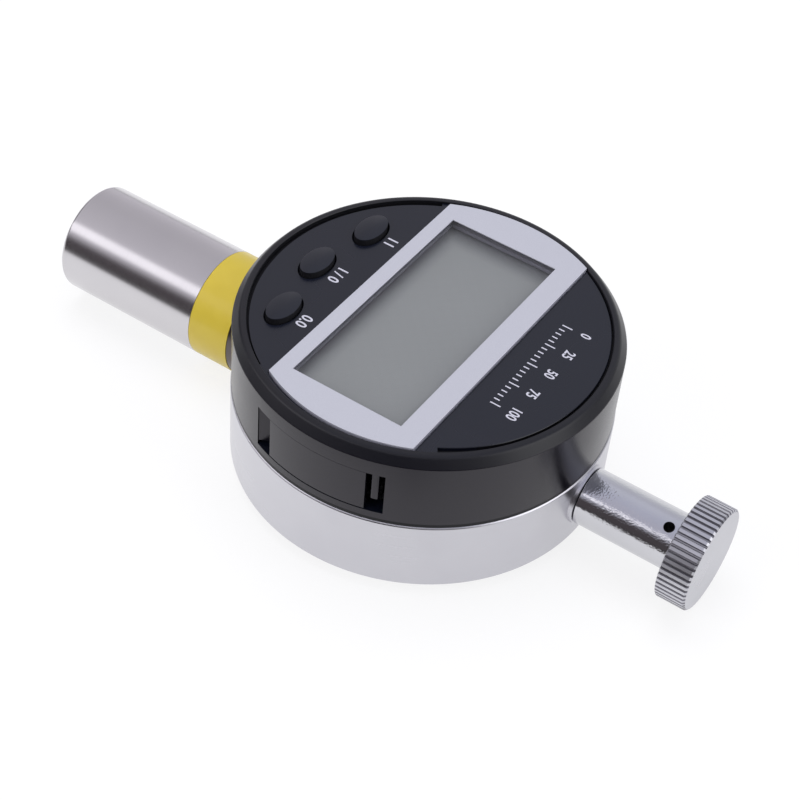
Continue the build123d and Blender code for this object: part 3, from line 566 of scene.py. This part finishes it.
def everything(shape):
    """All points, edges and faces of a shape."""
    return shape.verts[:] + shape.edges[:] + shape.faces[:]


def sweep(shape, angle, steps, rise=0.0, merge=False):
    """Spins a shape about the Z axis, by an angle in radians, and lifts it a little with each step."""
    bmesh.ops.spin(
        shape, geom=everything(shape), cent=(0, 0, 0), axis=(0, 0, 1), dvec=(0, 0, rise),
        angle=angle, steps=steps, use_merge=merge,
    )
    return weld(shape)


def lathe(outline, closed=True, steps=144):
    """Spins a half outline of (radius, height) points, in millimetres, about the Z axis."""
    shape = bmesh.new()
    corners = [shape.verts.new((radius * mm, 0, height * mm)) for radius, height in outline]
    for first, second in zip(corners, corners[1:]):
        shape.edges.new((first, second))
    if closed:
        shape.edges.new((corners[-1], corners[0]))
    return sweep(shape, 2 * math.pi, steps, merge=True)


def shift(shape, x, y, z=0.0, points=None):
    """Moves a shape, or some of its points, by millimetres."""
    moved = shape.verts if points is None else points
    bmesh.ops.translate(shape, verts=moved, vec=Vector((x, y, z)) * mm)
    return shape


def points_in(items):
    """The points among the items that an operator made."""
    return [item for item in items if isinstance(item, bmesh.types.BMVert)]


def lay_down(shape):
    """Turns an upright piece so that its axis becomes the spindle's."""
    along_spindle = Matrix.Translation((0, 0, axis_height)) @ Matrix.Rotation(math.pi / 2, 4, "Y")
    bmesh.ops.transform(shape, matrix=along_spindle, verts=shape.verts)
    return shape


def soften(shape, width, segments=2, chosen=None):
    """Rounds the sharp edges, or the chosen ones among them, by a width in millimetres."""
    edges = []
    for edge in shape.edges:
        if edge.is_manifold and edge.calc_face_angle() > math.radians(25):
            if chosen is None or chosen(edge):
                edges.append(edge)
    bmesh.ops.bevel(
        shape, geom=edges, offset=width * mm, offset_type="OFFSET", segments=segments,
        profile=0.5, affect="EDGES", clamp_overlap=True, material=-1,
    )
    return shape


print("spindle axis height in mm:", round(axis_height / mm, 3))

# %% [markdown]
# A finished shape becomes an object at the origin. It rides on a body of the frame, so it moves when the
# joint does, and it may stand for CAD nodes, which are then hidden. Wide flat faces beside small round
# edges shade badly with plain smoothing, so a Weighted Normal modifier lets the wide faces decide.


def place_piece(shape, name, body, slot, stands_for=(), more_slots=()):
    """Makes a shape an object with its finishes, its body and the nodes that it stands for."""
    piece = add_mesh(name, shape)
    mesh = piece.data
    mesh.shade_smooth()
    mesh.set_sharp_from_angle(angle=math.radians(42))
    for finish in (slot, *more_slots):
        mesh.materials.append(finishes[finish])
    even = piece.modifiers.new("even_normals", "WEIGHTED_NORMAL")
    even.keep_sharp = True
    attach(piece, body)
    if stands_for:
        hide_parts(*stands_for)
    print(f"{name}: {len(mesh.polygons)} faces on {body}")
    return piece


# %% [markdown]
# Holes and pockets are cut with exact Booleans. The shape and its cutters become objects for a moment,
# the modifiers are evaluated, and the result goes back into a bmesh, so that no cutter is left in the scene.

# %% Cutting


def carve(shape, cutters):
    """Takes closed cutters out of a closed shape."""
    blank = add_mesh("moment", shape)
    tools = [add_mesh("moment", cutter) for cutter in cutters]
    for tool in tools:
        cut = blank.modifiers.new("cut", "BOOLEAN")
        cut.operation = "DIFFERENCE"
        cut.solver = "EXACT"
        cut.object = tool
    result = bmesh.new()
    result.from_object(blank, bpy.context.evaluated_depsgraph_get())
    for thing in [blank, *tools]:
        mesh = thing.data
        bpy.data.objects.remove(thing)
        bpy.data.meshes.remove(mesh)
    return result


def rod(radius, low, high, segments=64):
    """Upright cylinder between two heights, in millimetres."""
    shape = bmesh.new()
    middle = Matrix.Translation(Vector((0, 0, (low + high) / 2)) * mm)
    bmesh.ops.create_cone(
        shape, cap_ends=True, segments=segments, matrix=middle,
        radius1=radius * mm, radius2=radius * mm, depth=(high - low) * mm,
    )
    return shape


def block(low, high, shape=None):
    """Box between two corners, in millimetres, in a new shape or added to one."""
    if shape is None:
        shape = bmesh.new()
    low, high = Vector(low) * mm, Vector(high) * mm
    sides = Matrix.Diagonal((*(high - low), 1))
    bmesh.ops.create_cube(shape, size=1.0, matrix=Matrix.Translation((low + high) / 2) @ sides)
    return shape


print("cutters: rod and block")

# %% [markdown]
# The drum is a plated ring with a bright chamfer at each edge. The spindle passes through its wall twice,
# so one long rod is cut out along the spindle.

# %% Drum
drum_radius, drum_inside, drum_edge = 29.199, 26.0, 0.28
drum_base, seam, bore = 2.0, 14.6, 2.6
drum = lathe([
    (drum_inside, drum_base), (drum_radius - drum_edge, drum_base), (drum_radius, drum_base + drum_edge),
    (drum_radius, seam - drum_edge), (drum_radius - drum_edge, seam), (drum_inside, seam),
], steps=192)
drum = carve(soften(drum, 0.06), [lay_down(rod(bore, -60, 60))])
place_piece(drum, "drum_ring", "case", "plated_drum", ["rear_case"])

# %% [markdown]
# The neck that carries the barrel rises above the drum's seam, where it meets the wall of the head. In
# metal this is one milling cut, and here it is one as well: an upright cylinder a little wider than the
# head takes the neck's upper part away. On the other side a short pad makes the lip at the stem's root.

# %% Neck and pad
wall_radius, tape_from, tape_to = 29.05, -38.3, -31.0
neck_radius, tape_seat, tail, in_drum = 8.9, 8.75, -35.0, 27.6
neck = lay_down(lathe([
    (bore, tail), (tape_seat, tail), (tape_seat, tape_to + 0.05),
    (neck_radius, tape_to + 0.05), (neck_radius, -in_drum), (bore, -in_drum),
]))
neck = carve(soften(neck, 0.05), [rod(wall_radius + 0.05, seam, seam + 9, segments=192)])
# Painted shade: the neck's steel is dark, for the shade between the tape and the head.
place_piece(neck, "barrel_neck", "case", "neck_shaded_steel")

pad_radius, pad_end = 4.72, 29.55
pad = lay_down(lathe([(bore, in_drum), (pad_radius, in_drum), (pad_radius, pad_end), (bore, pad_end)]))
place_piece(soften(pad, 0.08, 2), "stem_pad", "case", "plated_drum")

# %% [markdown]
# The back cover is a flat plate with a chamfered edge and four countersunk screws. A screw is turned, and
# its cross is cut by two thin blocks. The three copies are duplicates in the same mesh.

# %% Back cover and its screws
screw_spots = [(x, y) for x in (-11.7, 11.7) for y in (-20.265, 20.265)]
cover = lathe([(0, 0), (26.4, 0), (27.0, 0.6), (27.0, 2.0), (0, 2.0)], closed=False, steps=192)
countersinks = []
for spot in screw_spots:
    sink = lathe([(0, -0.2), (2.5, -0.2), (1.35, 0.95), (1.35, 2.2), (0, 2.2)], closed=False, steps=64)
    countersinks.append(shift(sink, *spot))
cover = carve(soften(cover, 0.06), countersinks)
place_piece(cover, "cover_plate", "case", "plated_drum", ["back_cover"])

screw = lathe([
    (0, 0.05), (2.1, 0.05), (2.22, 0.12), (1.2, 1.1), (1.2, 7.0), (0, 7.0),
], closed=False, steps=48)
arm, half, depth = 1.35, 0.32, 0.85
cross = [block((-arm, -half, -0.5), (arm, half, depth)), block((-half, -arm, -0.5), (half, arm, depth))]
screw = carve(screw, cross)
first_screw = everything(screw)
for spot in screw_spots[1:]:
    copied = bmesh.ops.duplicate(screw, geom=first_screw)["geom"]
    shift(screw, *spot, points=points_in(copied))
shift(screw, *screw_spots[0], points=points_in(first_screw))
place_piece(screw, "cover_screws", "case", "screw_steel", ["back_cover_screws"])

# %% [markdown]
# The barrel is a turned sleeve, closed in front by the presser foot. Its foot edge is visibly round, so
# that edge gets a wide bevel of its own before the small ones.

# %% Barrel
foot, foot_thick, foot_hole = -64.8, 4.0, 1.5
barrel_radius, barrel_inside = 9.0, 4.8
barrel = lay_down(lathe([
    (foot_hole, foot), (barrel_radius, foot), (barrel_radius, tape_from - 0.05),
    (tape_seat, tape_from - 0.05), (tape_seat, tail), (barrel_inside, tail),
    (barrel_inside, foot + foot_thick), (foot_hole, foot + foot_thick),
]))


def foot_rim(edge):
    """The outer rim of the presser foot."""
    for corner in edge.verts:
        from_axis = Vector((corner.co.y, corner.co.z - axis_height)).length
        if abs(corner.co.x - foot * mm) > 0.01 * mm or from_axis < (barrel_radius - 0.1) * mm:
            return False
    return True


barrel = soften(barrel, 0.7, 5, foot_rim)
place_piece(soften(barrel, 0.05, 2), "barrel_sleeve", "case", "turned_steel", ["barrel"])

# %% [markdown]
# The main spring sits in the barrel, between a collar on the spindle and a slotted seat. A circle of wire
# is spun six turns while each step also moves it along the axis, which winds a coil. A rigid coil would
# cut through the collar when the indenter is pushed in. The coil gets a mesh of its own.

# %% Main spring
spring_low, spring_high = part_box("main_spring")
wire, coil_radius, turns, steps_per_turn, indenter_reach = 0.45, 3.4, 6, 36, 2.5
spring_length = (spring_high.x - spring_low.x) / mm
coil = bmesh.new()
wire_place = Matrix.Translation((coil_radius * mm, 0, spring_low.x + wire * mm))
across = Matrix.Rotation(math.pi / 2, 4, "X")
bmesh.ops.create_circle(coil, cap_ends=True, segments=12, radius=wire * mm, matrix=wire_place @ across)
steps = turns * steps_per_turn
coil = sweep(coil, 2 * math.pi * turns, steps, (spring_length - 2 * wire) * mm / steps)
main_coil = place_piece(lay_down(coil), "main_coil", "case", "spring_steel", ["main_spring"])
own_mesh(main_coil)

# %% [markdown]
# The tape is one turn of film. A second, shorter arc lies over it where the end of the turn overlaps, on
# the side that is away from the camera.

# %% Tape
tape = lay_down(lathe([(8.76, tape_from), (8.99, tape_from), (8.99, tape_to), (8.76, tape_to)], steps=192))
place_piece(soften(tape, 0.02), "tape_turn", "case", "tape_film", ["seal_tape"])


def arc_solid(corners, start, end, steps):
    """Sweeps an outline of (radius, height) points about the Z axis, between two angles in degrees."""
    shape = bmesh.new()
    shape.faces.new([shape.verts.new((radius * mm, 0, height * mm)) for radius, height in corners])
    turn = Matrix.Rotation(math.radians(start), 3, "Z")
    bmesh.ops.rotate(shape, verts=shape.verts, cent=(0, 0, 0), matrix=turn)
    return sweep(shape, math.radians(end - start), steps)


def arc_block(inner, outer, low, high, start, end, steps):
    """Block that is bent about the Z axis."""
    return arc_solid([(inner, low), (outer, low), (outer, high), (inner, high)], start, end, steps)


lap = lay_down(arc_block(8.98, 9.03, tape_from + 0.05, tape_to - 0.05, 20, 42, 16))
place_piece(soften(lap, 0.01), "tape_lap", "case", "tape_film")

# %% [markdown]
# The stem is a bright tube with a fine groove at its root. A small cross hole near the knob takes a pin to
# tighten it, and it is cut with a rod that leans as the hole does. The hole and the groove are painted
# nearly black, as painted shade.

# %% Stem
root_end = 29.72
stem = lay_down(lathe([
    (0, 41.5), (2.9, 41.5), (2.9, 29.5), (4.25, 29.5), (4.25, root_end), (4.5, root_end + 0.03), (4.5, 45.1),
    (4.2, 45.4), (3.0, 45.4), (3.0, 48.8), (0, 48.8),
], closed=False))
pin_hole = rod(0.85, -6, 6, segments=48)
lean = Matrix.Translation((43.45 * mm, 0, axis_height)) @ Matrix.Rotation(math.radians(22.7), 4, "X")
bmesh.ops.transform(pin_hole, matrix=lean, verts=pin_hole.verts)
stem = carve(soften(stem, 0.04), [pin_hole])
hole_middle = lean.to_translation()
hole_axis = lean.to_3x3() @ Vector((0, 0, 1))
# Painted shade: faces inside the pin hole and in the root groove take the nearly black finish.
for wall in stem.faces:
    reach = wall.calc_center_median() - hole_middle
    beside = (reach - reach.project(hole_axis)).length
    if beside < 0.9 * mm and abs(wall.normal.dot(hole_axis)) < 0.3:
        wall.material_index = 1
    if wall.calc_center_median().x < (root_end + 0.01) * mm:
        wall.material_index = 1
place_piece(stem, "stem_tube", "case", "bright_chrome", ["stem"], ["hole_shadow"])

# %% [markdown]
# The knob's straight knurl is a ring of teeth. A circle with four points to a tooth is extruded into three
# more loops. The points of each loop step out to the tooth's tip or root, and the end loops are held to a
# smaller radius, so the tips end in a fine chamfer while the grooves run out through it. The grooves take
# a darker chrome as painted shade, which is a second finish, and the worn end with its chamfer has a third.

# %% Knob
knob_from, knob_to = 45.5, 50.35
teeth, tip, root, rim = 54, 8.2, 7.86, 7.92
tooth_points = (0.0, 0.52, 0.66, 0.86)


def shape_teeth(corners, height, limit):
    """Moves the points of a loop onto the teeth, no further out than a limit, at one height."""
    for corner in corners:
        angle = math.atan2(corner.co.y, corner.co.x)
        tooth, point = divmod(round(angle / (2 * math.pi) * 4 * teeth), 4)
        angle = (tooth + tooth_points[point]) * 2 * math.pi / teeth
        radius = min(tip if point < 2 else root, limit)
        corner.co = Vector((math.cos(angle) * radius, math.sin(angle) * radius, height)) * mm


knob = bmesh.new()
bmesh.ops.create_circle(knob, cap_ends=False, segments=4 * teeth, radius=tip * mm)
loop = knob.edges[:]
ends = [loop]
loop_corners = [knob.verts[:]]
for step in range(3):
    made = bmesh.ops.extrude_edge_only(knob, edges=loop)["geom"]
    loop = [item for item in made if isinstance(item, bmesh.types.BMEdge)]
    loop_corners.append(points_in(made))
ends.append(loop)
heights = (knob_from, knob_from + 0.15, knob_to - tip + rim, knob_to)
for corners, height, limit in zip(loop_corners, heights, (tip - 0.15, tip, tip, rim)):
    shape_teeth(corners, height, limit)
for end in ends:
    bmesh.ops.contextual_create(knob, geom=end)
groove_limit = (tip + root) / 2 + 0.03
knob_slots = ["groove_shade_chrome", "worn_chrome"]
shaded_groove, worn = 1, 2
# Painted shade: the faces down in the grooves take the darker chrome.
for wall in weld(knob).faces:
    if wall.normal.z > 0.3:
        wall.material_index = worn
    elif len(wall.verts) == 4 and wall.calc_center_median().xy.length < groove_limit * mm:
        wall.material_index = shaded_groove
knob = carve(lay_down(knob), [lay_down(rod(3.05, 44.0, 49.0))])
knurled_knob = place_piece(knob, "knurled_knob", "grip", "knurl_chrome", ["knob"], knob_slots)

# %% [markdown]
# The head is the main form: a moulded cap with a raised rim that rolls over into a sloping bezel, and a flat
# face. The cap is turned in one piece, and then the pocket of the display plate, its window, the button
# holes, the two grooves inside the rim and the drawer's opening are cut. The pocket has the outline of a
# circle between two straight sides, which bisect_plane trims. Each groove changes its width on the way
# round, so its inner points are moved in or out by an amount that depends on their angle. The holes are
# ovals: a round rod whose points all move the same way out along Y, so that a key inside keeps an even gap.
# Faces then take their finish from where they lie: the display's well, painted as a pale band of shade, the
# grooves, in painted shade, the wall, the rim, and a narrow band of painted shade at the wall's foot.

# %% Head cap
face, face_under, rim_inside, wall_inside, joint_shade_height = 27.6, 26.3, 26.95, 26.6, 0.60
foot_side, knob_side, plate_radius = 11.95, 12.7, 26.6
plate_middle = (0.55, 0.07)
plate_bottom, plate_top = 26.9, 28.1
key_width, key_longer, key_gap, key_top = 2.05, 1.4, 0.33, 28.5
groove_outer, groove_depth = 26.92, 0.6
well_low, well_high = (-9.8, -21.4, 25), (9.3, 20.92, 30)
opening_low, opening_high = (-11.2, -32, 16.4), (10.77, -20, 23.9)
buttons = {}
for name in ("hold_button", "power_button", "zero_button"):
    low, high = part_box(name)
    buttons[name] = (low + high) / 2 / mm


def make_oval(shape):
    """Lengthens a round upright shape along Y by one amount, whatever its radius."""
    for corner in shape.verts:
        radius = corner.co.xy.length
        if radius > 0.5 * mm:
            corner.co.y *= 1 + key_longer * mm / radius
    return shape


def taper(groove, swing):
    """Moves a groove's inner points outwards, by millimetres that depend on their angle in degrees."""
    for corner in groove.verts:
        if corner.co.xy.length < wall_inside * mm:
            along = math.degrees(math.atan2(corner.co.y, corner.co.x))
            corner.co.xy *= 1 + swing(along) * mm / corner.co.xy.length
    return groove


def foot_swing(along):
    """The groove on the foot's side is narrower towards the camera."""
    return 0.45 * min(1.0, max(0.0, (along % 360 - 188) / 40))


def knob_swing(along):
    """The groove on the knob's side is wider towards the camera."""
    return 0.03 + 0.42 * math.sin(math.radians(along)) - 0.016 * max(0.0, -34 - along)


def plate_outline(margin, low, high):
    """The display plate's outline, a circle between two straight sides, as a solid."""
    shape = bmesh.new()
    bmesh.ops.create_circle(shape, cap_ends=True, segments=288, radius=(plate_radius + margin) * mm)
    shift(shape, *plate_middle, low)
    for side, outward in ((-foot_side - margin, -1), (knob_side + margin, 1)):
        bmesh.ops.bisect_plane(
            shape, geom=everything(shape), clear_outer=True,
            plane_co=(side * mm, 0, 0), plane_no=(outward, 0, 0),
        )
    raised = bmesh.ops.extrude_face_region(shape, geom=shape.faces[:])["geom"]
    shift(shape, 0, 0, high - low, points_in(raised))
    return weld(shape)


cap = lathe([
    (0, face), (rim_inside, face), (rim_inside, 27.90), (27.03, 27.98), (27.42, 27.98), (27.72, 27.94),
    (27.96, 27.80), (28.14, 27.58), (28.98, 26.46), (wall_radius, 26.34), (wall_radius, seam + joint_shade_height),
    (wall_radius, seam), (wall_inside, seam), (wall_inside, face_under), (0, face_under),
], closed=False, steps=192)
cutters = [plate_outline(0.18, plate_bottom, face + 2), block(well_low, well_high)]
for spot in buttons.values():
    hole = make_oval(rod(key_width + key_gap, 25, 30))
    cutters.append(shift(hole, spot.x, spot.y))
foot_groove = arc_block(26.2, groove_outer, face - groove_depth, face + 2, 119.6, 238.7, 96)
cutters.append(taper(foot_groove, foot_swing))
knob_groove = arc_solid([
    (26.4, face - groove_depth), (groove_outer, face - groove_depth), (groove_outer, face + 0.5),
    (25.82, face + 0.5), (26.4, face - 0.08),
], -54.5, 61.0, 96)
cutters += [taper(knob_groove, knob_swing), block(opening_low, opening_high)]
cap = carve(cap, cutters)
cap_slots = ["well_shade_band", "hole_shadow", "wall_plastic", "rim_plastic", "joint_shade_plastic"]
in_well_band, in_groove, on_wall, on_rim, on_joint_shade = range(1, 6)
# Painted shade: the well's walls take a pale grey band, the grooves and the rim's inner wall near black, and
# the foot of the wall a dark band.
for wall in cap.faces:
    middle = wall.calc_center_median() / mm
    from_middle = middle.xy.length
    if from_middle < 26.5 and abs(middle.x) < 12.6 and 26.2 < middle.z < 27.0 and wall.normal.z > -0.5:
        wall.material_index = in_well_band
    if from_middle > rim_inside:
        wall.material_index = on_rim if middle.z > 26.4 else on_wall
    # Painted shade: the lowest band of the wall, by the drum, takes the dark finish.
    if from_middle > 28.7 and middle.z < seam + joint_shade_height - 0.1:
        wall.material_index = on_joint_shade
    if 26.0 < from_middle < rim_inside + 0.01 and middle.z > 26.9 and wall.normal.z < 0.5:
        wall.material_index = in_groove
    if 26.0 < from_middle < rim_inside and 26.9 < middle.z < face - 0.2:
        wall.material_index = in_groove
place_piece(cap, "head_cap", "case", "black_plastic", ["front_housing"], cap_slots)

# %% [markdown]
# The battery drawer closes the opening with a curved door. At each end of the door a springy tongue hangs
# from the top of the slot and latches it. The one on the foot's side is as wide as its slot and slopes
# inwards, so its outer points are scaled towards the axis, more and more along its length. Behind the door
# a tray with an open ring carries the button cell, and all of these ride on the drawer.

# %% Latch tongues and drawer
latch_top = 24.0
tongue = arc_block(27.1, 28.75, 18.55, latch_top, -72.35, -69.95, 4)
knob_latch = place_piece(soften(tongue, 0.30, 4), "latch_knob_side", "case", "wall_plastic")

ramp_start, ramp_end, ramp_slope = -113.2, -107.6, 0.10
ramp = arc_block(25.4, wall_radius - 0.05, 16.95, latch_top, ramp_start, ramp_end, 6)
for corner in ramp.verts:
    if corner.co.xy.length > 28 * mm:
        along = (math.degrees(math.atan2(corner.co.y, corner.co.x)) - ramp_start) / (ramp_end - ramp_start)
        corner.co.xy *= 1 - ramp_slope * along
foot_latch = place_piece(ramp, "latch_foot_side", "case", "wall_plastic")

door_low, door_high, tray_floor, ring_radius = 16.6, 23.87, 17.1, 7.0
door = arc_block(26.9, wall_radius, door_low, door_high, -90 - 16.7, -90 + 16.25, 40)
drawer_door = place_piece(soften(door, 0.04), "drawer_door", "drawer", "wall_plastic", ["battery_tray"])

tray = block((-ring_radius, -27.0, door_low), (ring_radius, -13.4, tray_floor))
place_piece(soften(tray, 0.10), "drawer_tray", "drawer", "black_plastic")
cell_low, cell_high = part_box("button_cell")
cell_y = (cell_low.y + cell_high.y) / 2 / mm
ring = arc_block(6.0, ring_radius, tray_floor, 21.3, 108, 432, 72)
place_piece(soften(shift(ring, 0, cell_y), 0.08), "drawer_ring", "drawer", "black_plastic")

cell = lathe([
    (0, tray_floor), (5.8, tray_floor), (5.8, 22.2), (4.6, 22.2), (4.6, 22.5), (0, 22.5),
], closed=False, steps=96)
place_piece(soften(shift(cell, 0, cell_y), 0.18, 3), "coin_cell", "drawer", "cell_steel", ["button_cell"])

# %% [markdown]
# The clear plate and the silver print on it share the pocket's outline, a little smaller. The print is a
# thin plate of its own with the window cut out.

# %% Display plate and print
print_bottom = plate_top - 0.15
pane_shape = plate_outline(0, plate_bottom, print_bottom)
place_piece(pane_shape, "display_pane", "case", "clear_plastic", ["display_window"])
window_low, window_high = (-9.5, -21.095, 27), (9.0, 20.615, 29)
frame_print = carve(plate_outline(0, print_bottom, plate_top), [block(window_low, window_high)])
place_piece(frame_print, "display_print", "case", "silver_print", ["display_bezel"])

# %% [markdown]
# The buttons are flat oval keys with a flange under the face, so that they can't fall out. Each one is
# turned at the origin, lengthened to an oval, moved over its snap dome, and rides on a body of its own.
# Its side wall stands in the shade of its hole, so it takes the nearly black finish.

# %% Buttons
for name, spot in buttons.items():
    flange = key_width + 0.85
    key = lathe([
        (0, 24.9), (flange, 24.9), (flange, 26.25), (key_width, 26.25), (key_width, key_top), (0, key_top),
    ], closed=False, steps=96)
    key = make_oval(soften(key, 0.06, 2))
    for wall in key.faces:
        if abs(wall.normal.z) < 0.3:
            wall.material_index = 1
    cap_name, body = name.replace("button", "cap"), name.replace("button", "key")
    place_piece(shift(key, spot.x, spot.y), cap_name, body, "button_plastic", [name], ["hole_shadow"])

# %% [markdown]
# Small printed marks stand by the buttons, and a plain scale of numbers lies beyond the display. Letters
# start as text curves, which become meshes before they are turned and moved. They read from the foot's
# side, so their right is -Y and their top is +X.

# %% Printed marks


def print_mark(words, name, x, y, size, width):
    """Thin letters of ink on the face."""
    text = bpy.data.curves.new(name, "FONT")
    text.body = words
    text.size = size * mm
    text.align_x = "CENTER"
    text.align_y = "CENTER"
    text.offset = 0.045 * mm
    text.extrude = 0.006 * mm
    thing = add_object(name, text)
    flat = bpy.data.meshes.new_from_object(thing.evaluated_get(bpy.context.evaluated_depsgraph_get()))
    bpy.data.objects.remove(thing)
    letters = bmesh.new()
    letters.from_mesh(flat)
    bpy.data.meshes.remove(flat)
    reading = Matrix.Translation(Vector((x, y, face + 0.006)) * mm) @ Matrix.Rotation(-math.pi / 2, 4, "Z")
    bmesh.ops.transform(letters, matrix=reading @ Matrix.Diagonal((width, 1, 1, 1)), verts=letters.verts)
    place_piece(letters, name, "case", "legend_ink")


print_mark("I I", "hold_mark", -14.4, 10.6, 2.5, 0.9)
print_mark("I / 0", "power_mark", -16.4, -0.6, 2.5, 0.85)
print_mark("0.0", "zero_mark", -14.4, -11.8, 2.5, 0.85)

scale_x, scale_start, long_tick, half_tick, ink = 16.0, 11.0, 1.7, 0.11, 0.012
scale = bmesh.new()
for step in range(21):
    tick = long_tick * (1.0 if step % 5 == 0 else 0.55)
    tick_y = scale_start - step
    block((scale_x, tick_y - half_tick, face), (scale_x + tick, tick_y + half_tick, face + ink), scale)
place_piece(scale, "scale_ticks", "case", "legend_ink")
for step in range(5):
    print_mark(str(step * 25), f"scale_number_{step}", 19.9, scale_start - 5 * step, 2.3, 0.75)

# %% [markdown]
# The nodes that are left, most of them inside, keep their CAD shape. The record names each one's material
# slot, so each gets the finish of that name.

# %% Finishes for the carried over nodes
carried = 0
for subpart in frame["record"]["subparts"]:
    node = frame["nodes"][subpart["node"]]
    if not node.hide_render:
        node.data.materials.clear()
        node.data.materials.append(finishes[subpart["material_slot"]])
        carried += 1
print("carried over nodes:", carried)
